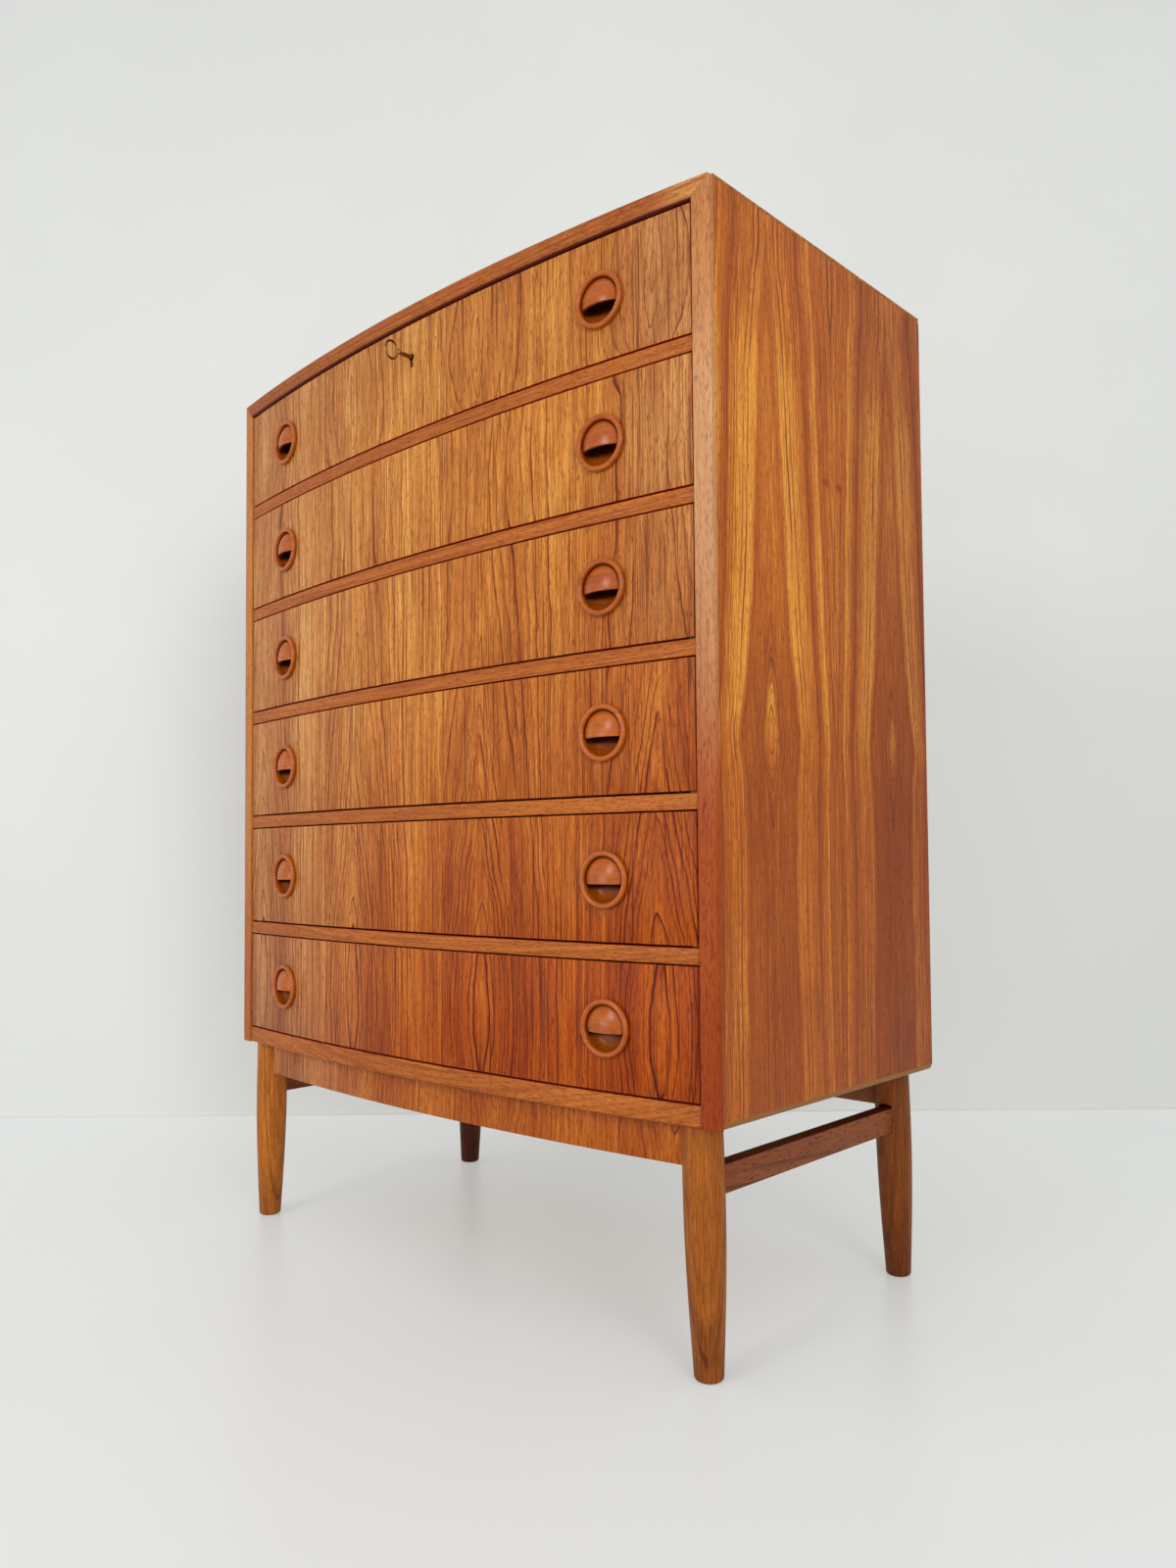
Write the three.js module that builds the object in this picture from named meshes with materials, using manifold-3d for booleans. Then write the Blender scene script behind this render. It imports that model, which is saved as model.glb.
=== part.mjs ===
// Bow front chest of drawers: six bowed drawers in a veneered carcass on round tapered legs.
// Millimetres, +Z up, front towards -Y. The chest is drawn with z = 0 on the floor and y = 0 at
// the front edges of the side panels, then moved so that its origin is the centre of its base.
import * as THREE from 'three';
import { mergeVertices } from 'three/addons/utils/BufferGeometryUtils.js';
import Module from 'manifold-3d';

const wasm = await Module();
wasm.setup();

// Carcass
const carcassWidth = 800;
const carcassHeight = 871;
const sideDepth = 406;
const bowRise = 29;
const panelThickness = 20;
const lippingThickness = 6;
const topLowerEdgeRadius = 5;
const lippingEdgeRadius = 2;
const backThickness = 5;
const backRebateWidth = 10;

// Rails and runners
const railHeight = 15;
const railDepth = 60;
const runnerWidth = 24;
const stopHeight = 12;

// Drawers
const drawerCount = 6;
const faceSetback = 2.5;
const frontThickness = 20;
const frontGapTop = 1.5;
const frontGapBottom = 2;
const frontGapSide = 1.75;
const lapCover = 6;
const boardThickness = 12;
const sideBoardHeight = 112;
const boxRearRoom = 16;
const bottomThickness = 5;
const bottomLift = 8;
const bottomGrooveDepth = 6;

// Pulls, with heights measured outwards from the drawer face
const pullSpacing = 552.8;
const pullDrop = 1.5;
const pullRadius = 28;
const ringHeight = 5.8;
const ringWidth = 5.4;
const ringEdgeRadius = 1.8;
const grooveWidth = 1.4;
const grooveHeight = 2;
const domeEdgeHeight = 3.8;
const domeHeight = 8;
const lidThickness = 3.2;
const lidEdgeDrop = 4.4;
const spigotRadius = 24;
const spigotLength = 12;
const hollowDepth = 9.8;

// Lock of the top drawer
const keyAxisDrop = 38.5;
const keyholeRadius = 4;
const keyholeSlotWidth = 3.2;
const keyholeSlotDrop = 11.8;
const lockWidth = 60;
const lockDepth = 12;
const lockBelowKey = 16;
const lockWall = 2;
const selvedgeWidth = 76;
const selvedgeThickness = 2;
const boltWidth = 22;
const boltThickness = 4;
const boltTravel = 8;
const boltRestAboveKey = 3.5;
const strikeWidth = 44;
const strikeDepth = 16;
const strikeThickness = 1.5;
const mortiseSpare = 4;

// Key
const keyReach = 38;
const keyShankRadius = 2.6;
const keyCollarRadius = 3.4;
const keyCollarLength = 3;
const keyRingHeight = 22.6;
const keyRingDepth = 18.8;
const keyWireRadius = 1.35;
const keyBitDrop = 10.6;
const keyBitThickness = 2.2;
const keyBitLength = 5;

// Base
const legHeight = 231;
const legTopRadius = 19.2;
const legBellyRadius = 19.6;
const legKneeRadius = 18.1;
const legAnkleRadius = 14.9;
const legFootRadius = 13.9;
const legFootEdge = 5;
const legInsetSide = 36.5;
const legInsetFront = 22;
const legInsetRear = 29;
const legSplay = 4.8;
const apronHeight = 41;
const apronThickness = 18;
const apronSetback = 21;
const rearRailThickness = 18;
const stretcherHeight = 28;
const stretcherThickness = 16;
const stretcherHousing = 9;
const tenonThickness = 8;
const tenonShoulder = 6;
const tenonLength = 9;

// Clearances
const jointGap = 0.3;
const slideGap = 0.3;
const stopGap = 1;
const cutOverrun = 10;

// Numbers of facets
const bowSteps = 16;
const roundSteps = 3;
const pullSteps = 16;
const domeSteps = 2;
const hollowSteps = 14;
const legSteps = 20;
const keySteps = 12;

// Places that several pieces share
const halfWidth = carcassWidth / 2;
const insideHalf = halfWidth - panelThickness;
const carcassTop = legHeight + carcassHeight;
const insideTop = carcassTop - panelThickness;
const insideBottom = legHeight + panelThickness;
const drawerPitch = (insideTop - insideBottom + railHeight) / drawerCount;
const openingHeight = drawerPitch - railHeight;
const bowRadius = (halfWidth * halfWidth + bowRise * bowRise) / (2 * bowRise);
const bowCentreY = bowRadius - bowRise;
const backFaceY = sideDepth - backThickness;
const frontHalf = insideHalf - frontGapSide;
const boardInside = frontHalf - boardThickness;
const boxRearY = backFaceY - boxRearRoom;
const legAxisX = halfWidth - legInsetSide;
const frontLegY = legInsetFront;
const rearLegY = sideDepth - legInsetRear;
const apronLow = legHeight - apronHeight;
const stretcherLow = apronLow - stretcherHeight;
const stretcherX = legAxisX + legSplay * (1 - (apronLow - stretcherHeight / 2) / legHeight);
const keyTipY = -(bowRise - faceSetback) - keyReach;
const originY = (sideDepth + keyTipY) / 2;

const material = (colour, roughness, metalness) =>
  new THREE.MeshStandardMaterial({ color: colour, roughness, metalness });

const veneer = material(0xb8733f, 0.42, 0);
const sideVeneer = material(0xa9713c, 0.42, 0);
const solidTeak = material(0xad683c, 0.45, 0);
const legWood = material(0xa0672b, 0.4, 0);
const darkWood = material(0x7c4c2b, 0.5, 0);
const pullWood = material(0xa55a2c, 0.3, 0);
const boxWood = material(0xd2b487, 0.6, 0);
const plywood = material(0xb78d5c, 0.7, 0);
const brass = material(0xb08a45, 0.3, 1);
const steel = material(0x8b8780, 0.4, 1);

const chest = new THREE.Group();
chest.position.y = -originY;

function addPiece(name, shape, look) {
  const geometry = shape.isBufferGeometry ? shape : toGeometry(shape);
  const mesh = new THREE.Mesh(geometry, look);
  mesh.name = name;
  chest.add(mesh);
  return mesh;
}

// Closed mesh to boolean solid and back
function toSolid(geometry) {
  const bare = geometry.clone();
  bare.deleteAttribute('normal');
  bare.deleteAttribute('uv');
  const merged = mergeVertices(bare);
  return new wasm.Manifold(new wasm.Mesh({
    numProp: 3,
    vertProperties: merged.attributes.position.array,
    triVerts: Uint32Array.from(merged.index.array),
  }));
}

function toGeometry(solid) {
  const mesh = solid.getMesh();
  const geometry = new THREE.BufferGeometry();
  geometry.setAttribute('position', new THREE.BufferAttribute(mesh.vertProperties, 3));
  geometry.setIndex(new THREE.BufferAttribute(mesh.triVerts, 1));
  geometry.computeVertexNormals();
  return geometry;
}

const union = (solids) => solids.reduce((joined, next) => joined.add(next));
const without = (solid, cuts) => cuts.reduce((left, cut) => left.subtract(cut), solid);

// Box between two corners
function block(x0, x1, y0, y1, z0, z1) {
  const box = new THREE.BoxGeometry(x1 - x0, y1 - y0, z1 - z0);
  box.translate((x0 + x1) / 2, (y0 + y1) / 2, (z0 + z1) / 2);
  return toSolid(box);
}

// Outline of corners [across, up, radius], each rounded by its radius
function roundedOutline(corners) {
  const outline = new THREE.Shape();
  corners.forEach(([x, y, radius], index) => {
    const corner = new THREE.Vector2(x, y);
    const before = corners[(index + corners.length - 1) % corners.length];
    const after = corners[(index + 1) % corners.length];
    const entry = stepTowards(corner, before, radius);
    const exit = stepTowards(corner, after, radius);
    if (index === 0) {
      outline.moveTo(entry.x, entry.y);
    } else {
      outline.lineTo(entry.x, entry.y);
    }
    if (radius > 0) {
      outline.quadraticCurveTo(x, y, exit.x, exit.y);
    }
  });
  outline.closePath();
  return outline;
}

function stepTowards(corner, [x, y], distance) {
  const direction = new THREE.Vector2(x, y).sub(corner).normalize();
  return corner.clone().addScaledVector(direction, distance);
}

// Outline in x and y, raised from z0 to z1
function raise(outline, z0, z1) {
  const geometry = new THREE.ExtrudeGeometry(outline, {
    depth: z1 - z0, bevelEnabled: false, curveSegments: roundSteps,
  });
  geometry.translate(0, 0, z0);
  return toSolid(geometry);
}

// Outline in x and z, drawn through from y0 to y1
function drawThrough(outline, y0, y1, segments = roundSteps) {
  const geometry = new THREE.ExtrudeGeometry(outline, {
    depth: y1 - y0, bevelEnabled: false, curveSegments: segments,
  });
  geometry.rotateX(Math.PI / 2);
  geometry.translate(0, y1, 0);
  return toSolid(geometry);
}

// The front surface: an arc that passes through the front corners of the side panels
function bowY(x, setback) {
  const radius = bowRadius - setback;
  return bowCentreY - Math.sqrt(radius * radius - x * x);
}

const onBow = (setback) => (x) => bowY(x, setback);
const onPlane = (y) => () => y;

function stations(x0, x1) {
  const steps = Array.from({ length: bowSteps + 1 }, (unused, index) => index / bowSteps);
  return steps.map((share) => x0 + (x1 - x0) * share);
}

// Plate with a bowed front, whose back follows the place that is given
function bowedPlate(reach, frontPlace, backPlace, z0, z1) {
  const front = stations(-reach, reach).map((x) => new THREE.Vector2(x, frontPlace(x)));
  const back = stations(reach, -reach).map((x) => new THREE.Vector2(x, backPlace(x)));
  return raise(new THREE.Shape([...front, ...back]), z0, z1);
}

// Bar that follows the bow, with a section of points (setback, z) in counter-clockwise order
function bowedBar(section, reach) {
  const places = stations(-reach, reach);
  const positions = places.flatMap((x) => section.flatMap((point) => [x, bowY(x, point.x), point.y]));
  const count = section.length;
  const faces = [];
  for (let step = 0; step < bowSteps; step += 1) {
    for (let side = 0; side < count; side += 1) {
      const next = (side + 1) % count;
      const here = step * count;
      const there = here + count;
      faces.push(here + side, here + next, there + next, here + side, there + next, there + side);
    }
  }
  const lastRing = bowSteps * count;
  for (const [a, b, c] of THREE.ShapeUtils.triangulateShape(section, [])) {
    faces.push(a, c, b, lastRing + a, lastRing + b, lastRing + c);
  }
  const geometry = new THREE.BufferGeometry();
  geometry.setAttribute('position', new THREE.Float32BufferAttribute(positions, 3));
  geometry.setIndex(faces);
  return toSolid(geometry);
}

// Turned solid with a profile of [radius, height] points that starts and ends on the axis
function turned(profile, segments) {
  return new THREE.LatheGeometry(profile.map(([r, h]) => new THREE.Vector2(r, h)), segments);
}

// Carcass
const mitreTop = (drop) => new THREE.Shape([
  new THREE.Vector2(-halfWidth, carcassTop - drop),
  new THREE.Vector2(-insideHalf, insideTop - drop),
  new THREE.Vector2(insideHalf, insideTop - drop),
  new THREE.Vector2(halfWidth, carcassTop - drop),
]);

function mitredTop(solid) {
  const keep = drawThrough(mitreTop(0), -bowRise - cutOverrun, sideDepth + cutOverrun);
  return solid.intersect(keep);
}

function mitredSide(solid) {
  const roof = new THREE.Shape([
    new THREE.Vector2(-halfWidth, carcassTop - jointGap),
    new THREE.Vector2(-insideHalf, insideTop - jointGap),
    new THREE.Vector2(insideHalf, insideTop - jointGap),
    new THREE.Vector2(halfWidth, carcassTop - jointGap),
    new THREE.Vector2(halfWidth, carcassTop + cutOverrun),
    new THREE.Vector2(-halfWidth, carcassTop + cutOverrun),
  ]);
  const keepOut = drawThrough(roof, -bowRise - cutOverrun, sideDepth + cutOverrun);
  return solid.subtract(keepOut);
}

const backReach = insideHalf + backRebateWidth;
const backLow = insideBottom - backRebateWidth;
const backHigh = insideTop + backRebateWidth;
const backRebate = block(-backReach, backReach, backFaceY, sideDepth + cutOverrun, backLow, backHigh);

function makeSides() {
  const panel = block(insideHalf, halfWidth, lippingThickness, sideDepth, legHeight, carcassTop);
  const right = mitredSide(panel.subtract(backRebate));
  addPiece('right_side_panel', right, sideVeneer);
  addPiece('left_side_panel', right.mirror([1, 0, 0]), sideVeneer);

  const lippingOutline = roundedOutline([
    [insideHalf, bowY(insideHalf, 0), lippingEdgeRadius],
    [halfWidth, bowY(halfWidth, 0), lippingEdgeRadius],
    [halfWidth, lippingThickness, 0],
    [insideHalf, lippingThickness, 0],
  ]);
  const lipping = mitredSide(raise(lippingOutline, legHeight, carcassTop));
  addPiece('right_lipping', lipping, solidTeak);
  addPiece('left_lipping', lipping.mirror([1, 0, 0]), solidTeak);
}

const boltY = bowY(0, faceSetback) + frontThickness - lockDepth / 2;

function makeTop() {
  const panel = bowedPlate(halfWidth, onBow(lippingThickness), onPlane(sideDepth), insideTop, carcassTop);
  const plateRecess = block(
    -strikeWidth / 2 - jointGap, strikeWidth / 2 + jointGap,
    boltY - strikeDepth / 2 - jointGap, boltY + strikeDepth / 2 + jointGap,
    insideTop - cutOverrun, insideTop + strikeThickness + jointGap,
  );
  const boltMortise = block(
    -boltWidth / 2 - stopGap, boltWidth / 2 + stopGap,
    boltY - boltThickness / 2 - stopGap, boltY + boltThickness / 2 + stopGap,
    insideTop - cutOverrun, insideTop + boltTravel + mortiseSpare,
  );
  const top = without(mitredTop(panel), [backRebate, plateRecess, boltMortise]);
  addPiece('top_panel', top, sideVeneer);

  const section = roundedOutline([
    [lippingThickness, insideTop, 0],
    [lippingThickness, carcassTop, 0],
    [0, carcassTop, lippingEdgeRadius],
    [0, insideTop, topLowerEdgeRadius],
  ]).getPoints(roundSteps).slice(0, -1);
  addPiece('top_lipping', mitredTop(bowedBar(section, halfWidth)), solidTeak);

  const plate = block(
    -strikeWidth / 2, strikeWidth / 2,
    boltY - strikeDepth / 2, boltY + strikeDepth / 2,
    insideTop, insideTop + strikeThickness,
  );
  addPiece('strike_plate', plate.subtract(boltMortise), brass);
}

function stopLug(side, floor) {
  const inner = side * (insideHalf - runnerWidth);
  const outer = side * insideHalf;
  const lugFront = boxRearY + stopGap;
  const rear = backFaceY - jointGap;
  return block(Math.min(inner, outer), Math.max(inner, outer), lugFront, rear, floor, floor + stopHeight);
}

function makeBottom() {
  const panel = bowedPlate(
    insideHalf, onBow(faceSetback + lippingThickness), onPlane(sideDepth), legHeight, insideBottom,
  );
  const stops = [-1, 1].map((side) => stopLug(side, insideBottom - jointGap));
  addPiece('bottom_panel', union([panel.subtract(backRebate), ...stops]), sideVeneer);

  const lipping = bowedPlate(
    insideHalf, onBow(faceSetback), onBow(faceSetback + lippingThickness), legHeight, insideBottom,
  );
  addPiece('bottom_lipping', lipping, solidTeak);
}

function makeBack() {
  const reach = backReach - jointGap;
  const back = block(-reach, reach, backFaceY, sideDepth, backLow + jointGap, backHigh - jointGap);
  addPiece('back_panel', back, plywood);
}

const openingTop = (number) => insideTop - (number - 1) * drawerPitch;
const openingFloor = (number) => openingTop(number) - openingHeight;

function makeRailsAndRunners() {
  for (let number = 1; number < drawerCount; number += 1) {
    const floor = openingFloor(number);
    const rail = bowedPlate(insideHalf, onBow(faceSetback), onPlane(railDepth), floor - railHeight, floor);
    addPiece(`rail_${number}`, rail, solidTeak);
    const rear = backFaceY - jointGap;
    const bar = block(insideHalf - runnerWidth, insideHalf, railDepth, rear, floor - railHeight, floor);
    const runner = bar.add(stopLug(1, floor - jointGap));
    addPiece(`runner_${number}_right`, runner, boxWood);
    addPiece(`runner_${number}_left`, runner.mirror([1, 0, 0]), boxWood);
  }
}

// Pulls
const grooveOuter = pullRadius - ringWidth;
const domeRadius = grooveOuter - grooveWidth;
const hollowRadius = domeRadius - grooveWidth / 2;
const rimShare = 0.2;
const bowlShares = [[0, 1], [0.6, 0.93], [0.88, 0.68], [1, rimShare]];
const pullTilt = Math.asin(pullSpacing / 2 / (bowRadius - faceSetback));

// Matrix of a pull: its own y points straight out of the bowed face
function pullMatrix(side, z) {
  const x = side * pullSpacing / 2;
  const matrix = new THREE.Matrix4().makeRotationZ(Math.PI + side * pullTilt);
  return matrix.setPosition(x, bowY(x, faceSetback), z);
}

function domeArc(edgeRadius, edgeHeight, crownHeight) {
  const rise = crownHeight - edgeHeight;
  const radius = (edgeRadius * edgeRadius + rise * rise) / (2 * rise);
  return Array.from({ length: domeSteps + 1 }, (unused, index) => {
    const r = edgeRadius * (1 - index / domeSteps);
    return [r, crownHeight - radius + Math.sqrt(radius * radius - r * r)];
  });
}

function makePullGeometry() {
  const body = turned([
    [0, -spigotLength],
    [spigotRadius, -spigotLength],
    [spigotRadius, jointGap],
    [pullRadius, jointGap],
    [pullRadius, ringHeight - ringEdgeRadius],
    [pullRadius - ringEdgeRadius, ringHeight],
    [grooveOuter + ringEdgeRadius, ringHeight],
    [grooveOuter, ringHeight - ringEdgeRadius],
    [grooveOuter, grooveHeight],
    [domeRadius, grooveHeight],
    ...domeArc(domeRadius, domeEdgeHeight, domeHeight),
  ], pullSteps);
  const bowl = turned([
    ...bowlShares.map(([acrossShare, depthShare]) => [hollowRadius * acrossShare, -hollowDepth * depthShare]),
    ...domeArc(hollowRadius, domeEdgeHeight - lidThickness, domeHeight - lidThickness),
  ], hollowSteps);
  const lidAngle = Math.asin(lidEdgeDrop / grooveOuter);
  const mouthOutline = new THREE.Shape();
  mouthOutline.absarc(0, 0, grooveOuter, Math.PI + lidAngle, 2 * Math.PI - lidAngle, false);
  mouthOutline.closePath();
  const mouth = drawThrough(mouthOutline, -hollowDepth * rimShare, domeHeight + cutOverrun, hollowSteps / 2);
  return toGeometry(without(toSolid(body), [toSolid(bowl), mouth]));
}

function pullBore(side, z) {
  const bore = turned([
    [0, -spigotLength - jointGap],
    [spigotRadius + jointGap, -spigotLength - jointGap],
    [spigotRadius + jointGap, cutOverrun],
    [0, cutOverrun],
  ], pullSteps);
  return toSolid(bore).transform(pullMatrix(side, z).elements);
}

// Lock
const frontTop = (number) => openingTop(number) - frontGapTop;
const keyZ = frontTop(1) - keyAxisDrop;
const lockFrontY = bowY(0, faceSetback) + frontThickness - lockDepth;
const lockRearY = lockFrontY + lockDepth;

// Keyhole outline: a round hole with a slot below it
function keyholeOutline(spare) {
  const radius = keyholeRadius + spare;
  const half = keyholeSlotWidth / 2 + spare;
  const angle = Math.asin(half / radius);
  const outline = new THREE.Shape();
  outline.absarc(0, keyZ, radius, -Math.PI / 2 + angle, 3 * Math.PI / 2 - angle, false);
  outline.lineTo(-half, keyZ - keyholeSlotDrop - spare);
  outline.lineTo(half, keyZ - keyholeSlotDrop - spare);
  outline.closePath();
  return outline;
}

function lockCuts() {
  const gap = jointGap;
  const caseRecess = block(
    -lockWidth / 2 - gap, lockWidth / 2 + gap,
    lockFrontY - gap, lockRearY + cutOverrun,
    keyZ - lockBelowKey - gap, frontTop(1) + cutOverrun,
  );
  const selvedgeRecess = block(
    -selvedgeWidth / 2 - gap, selvedgeWidth / 2 + gap,
    lockFrontY - gap, lockRearY + cutOverrun,
    frontTop(1) - selvedgeThickness - gap, frontTop(1) + cutOverrun,
  );
  const keyhole = drawThrough(keyholeOutline(0), -bowRise - cutOverrun, lockRearY, keySteps);
  return [caseRecess, selvedgeRecess, keyhole];
}

function makeLock() {
  const body = block(
    -lockWidth / 2, lockWidth / 2, lockFrontY, lockRearY,
    keyZ - lockBelowKey, frontTop(1) - selvedgeThickness,
  );
  const selvedge = block(
    -selvedgeWidth / 2, selvedgeWidth / 2, lockFrontY, lockRearY,
    frontTop(1) - selvedgeThickness - jointGap / 2, frontTop(1),
  );
  const cavityHalf = boltWidth / 2 + slideGap;
  const cavity = block(
    -cavityHalf, cavityHalf, lockFrontY + lockWall, lockRearY - lockWall,
    keyZ - lockBelowKey + lockWall, frontTop(1) - selvedgeThickness - lockWall,
  );
  const boltSlot = block(
    -cavityHalf, cavityHalf, boltY - boltThickness / 2 - slideGap, boltY + boltThickness / 2 + slideGap,
    keyZ, frontTop(1) + cutOverrun,
  );
  const keyhole = drawThrough(keyholeOutline(0), lockFrontY - cutOverrun, boltY, keySteps);
  const pinHole = drawThrough(circleOutline(keyShankRadius + jointGap), boltY, lockRearY + cutOverrun, keySteps);
  addPiece('lock_case', without(body.add(selvedge), [cavity, boltSlot, keyhole, pinHole]), steel);

  const bolt = block(
    -boltWidth / 2, boltWidth / 2, boltY - boltThickness / 2, boltY + boltThickness / 2,
    keyZ + boltRestAboveKey, frontTop(1),
  );
  addPiece('lock_bolt', bolt, brass);
}

function circleOutline(radius) {
  const outline = new THREE.Shape();
  outline.absarc(0, keyZ, radius, 0, 2 * Math.PI, false);
  return outline;
}

function makeKey() {
  const shankEnd = lockRearY - jointGap;
  const ringRear = keyTipY + keyRingDepth;
  const shank = drawThrough(circleOutline(keyShankRadius), ringRear - keyWireRadius, shankEnd, keySteps);
  const collar = drawThrough(circleOutline(keyCollarRadius), ringRear, ringRear + keyCollarLength, keySteps);
  const bitFront = boltY - keyBitLength / 2;
  const bit = block(
    -keyBitThickness / 2, keyBitThickness / 2, bitFront, bitFront + keyBitLength,
    keyZ - keyBitDrop, keyZ,
  );
  const ringRadius = keyRingHeight / 2 - keyWireRadius;
  const ring = new THREE.TorusGeometry(ringRadius, keyWireRadius, keySteps / 2, 2 * keySteps);
  ring.rotateY(Math.PI / 2);
  ring.scale(1, (keyRingDepth - 2 * keyWireRadius) / (2 * ringRadius), 1);
  const ringSolid = toSolid(ring);
  const ringBox = ringSolid.boundingBox();
  const placed = ringSolid.translate([0, keyTipY - ringBox.min[1], keyZ]);
  addPiece('key', union([shank, collar, bit, placed]), brass);
}

// Drawers
function frontOutline() {
  const shoulder = boardInside - jointGap;
  const face = faceSetback;
  const cover = face + lapCover;
  const rear = face + frontThickness;
  const point = (x, setback) => new THREE.Vector2(x, bowY(x, setback));
  return new THREE.Shape([
    ...stations(-frontHalf, frontHalf).map((x) => point(x, face)),
    point(frontHalf, cover),
    point(shoulder, cover),
    ...stations(shoulder, -shoulder).map((x) => point(x, rear)),
    point(-shoulder, cover),
    point(-frontHalf, cover),
  ]);
}

function makeDrawer(number, pullGeometry) {
  const floor = openingFloor(number);
  const top = frontTop(number);
  const pullZ = (floor + frontGapBottom + top) / 2 - pullDrop;
  const boardLow = floor + slideGap;
  const bottomLow = boardLow + bottomLift;
  const bottomHigh = bottomLow + bottomThickness;
  const grooveFace = faceSetback + frontThickness - bottomGrooveDepth;

  const groove = bowedPlate(
    boardInside - jointGap, onBow(grooveFace), onPlane(railDepth),
    bottomLow - jointGap, bottomHigh + jointGap,
  );
  const bores = [-1, 1].map((side) => pullBore(side, pullZ));
  const lock = number === 1 ? lockCuts() : [];
  const front = without(raise(frontOutline(), floor + frontGapBottom, top), [groove, ...bores, ...lock]);
  addPiece(`drawer_${number}_front`, front, veneer);

  const boardFront = bowY(frontHalf, faceSetback + lapCover) + jointGap;
  const boardHigh = boardLow + sideBoardHeight;
  const side = block(boardInside, frontHalf, boardFront, boxRearY, boardLow, boardHigh);
  const back = block(-frontHalf, frontHalf, boxRearY - boardThickness, boxRearY, boardLow, boardHigh);
  const bottomReach = boardInside - 2 * jointGap;
  const sheet = bowedPlate(
    bottomReach, onBow(grooveFace + jointGap), onPlane(boxRearY - boardThickness / 2), bottomLow, bottomHigh,
  );
  const seat = block(
    -boardInside - bottomGrooveDepth, boardInside + bottomGrooveDepth,
    bowY(boardInside, faceSetback + frontThickness) + jointGap, boxRearY - boardThickness / 2,
    bottomLow, bottomHigh,
  );
  addPiece(`drawer_${number}_box`, union([side, side.mirror([1, 0, 0]), back, sheet, seat]), boxWood);

  for (const [sideName, sign] of [['left', -1], ['right', 1]]) {
    const pull = addPiece(`drawer_${number}_pull_${sideName}`, pullGeometry, pullWood);
    pull.applyMatrix4(pullMatrix(sign, pullZ));
  }
}

// Base
const legProfileShares = [1, 0.66, 0.38, 0.1];

// Leg profile, swollen by a spare width, with a rounded foot
function legProfile(spare) {
  const [topShare, bellyShare, kneeShare, ankleShare] = legProfileShares;
  const line = new THREE.SplineCurve([
    new THREE.Vector2(legFootRadius, legFootEdge),
    new THREE.Vector2(legAnkleRadius, legHeight * ankleShare),
    new THREE.Vector2(legKneeRadius, legHeight * kneeShare),
    new THREE.Vector2(legBellyRadius, legHeight * bellyShare),
    new THREE.Vector2(legTopRadius, legHeight * topShare),
  ]).getPoints(2 * roundSteps + 2);
  const foot = Array.from({ length: roundSteps }, (unused, index) => {
    const angle = Math.PI / 2 * index / roundSteps;
    return [legFootRadius - legFootEdge * (1 - Math.sin(angle)), legFootEdge * (1 - Math.cos(angle))];
  });
  const shaft = line.map((point) => [point.x, point.y]);
  const outer = [...foot, ...shaft].map(([r, h]) => [r + spare, h]);
  return [[0, 0], ...outer, [0, legHeight]];
}

// Leg solid that leans outwards towards its foot, with level ends
function legSolid(side, y, spare) {
  const upright = turned(legProfile(spare), legSteps).rotateX(Math.PI / 2);
  const lean = side * legSplay / legHeight;
  const shear = new THREE.Matrix4().set(
    1, 0, -lean, side * (legAxisX + legSplay),
    0, 1, 0, y,
    0, 0, 1, 0,
    0, 0, 0, 1,
  );
  return toSolid(upright.applyMatrix4(shear));
}

// Tenon between a cross rail and a leg, swollen by a spare width
function railTenon(side, y, spare) {
  const inner = legAxisX - legBellyRadius - tenonLength / 2;
  const outer = legAxisX - legBellyRadius + tenonLength;
  const near = Math.min(side * (inner - spare), side * (outer + spare));
  const far = Math.max(side * (inner - spare), side * (outer + spare));
  const half = tenonThickness / 2 + spare;
  return block(
    near, far, y - half, y + half,
    apronLow + tenonShoulder - spare, legHeight - tenonShoulder + spare,
  );
}

// Side stretcher bar, swollen by a spare width, housed in the front and the rear leg
function stretcherBar(side, spare) {
  const half = stretcherThickness / 2 + spare;
  const inset = legBellyRadius - stretcherHousing;
  return block(
    side * stretcherX - half, side * stretcherX + half,
    frontLegY + inset - spare, rearLegY - inset + spare,
    stretcherLow - spare, apronLow + spare,
  );
}

function makeBase() {
  for (const [name, side] of [['left', -1], ['right', 1]]) {
    const housing = stretcherBar(side, jointGap);
    for (const [place, y] of [['front', frontLegY], ['rear', rearLegY]]) {
      const leg = without(legSolid(side, y, 0), [housing, railTenon(side, y, jointGap)]);
      addPiece(`leg_${place}_${name}`, leg, legWood);
    }
    addPiece(`stretcher_${name}`, stretcherBar(side, 0), darkWood);
  }
  const apronPlate = bowedPlate(
    legAxisX, onBow(apronSetback), onBow(apronSetback + apronThickness), apronLow, legHeight,
  );
  addPiece('front_apron', crossRail(apronPlate, frontLegY), veneer);
  const half = rearRailThickness / 2;
  const rearPlate = block(-legAxisX, legAxisX, rearLegY - half, rearLegY + half, apronLow, legHeight);
  addPiece('rear_rail', crossRail(rearPlate, rearLegY), darkWood);
}

// Rail scribed to both legs, with a tenon at each end
function crossRail(plate, legY) {
  const legs = [-1, 1].map((side) => legSolid(side, legY, jointGap));
  const ends = [-1, 1].map((side) => railTenon(side, legY, 0));
  const scribed = without(plate, [...legs, outerCut(-1), outerCut(1)]);
  return union([scribed, ...ends]);
}

// What a rail loses beyond the leg axes
function outerCut(side) {
  const near = side * (legAxisX - legTopRadius / 2);
  const far = side * (legAxisX + cutOverrun);
  return block(
    Math.min(near, far), Math.max(near, far), -bowRise, sideDepth,
    apronLow - cutOverrun, legHeight + cutOverrun,
  );
}

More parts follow.
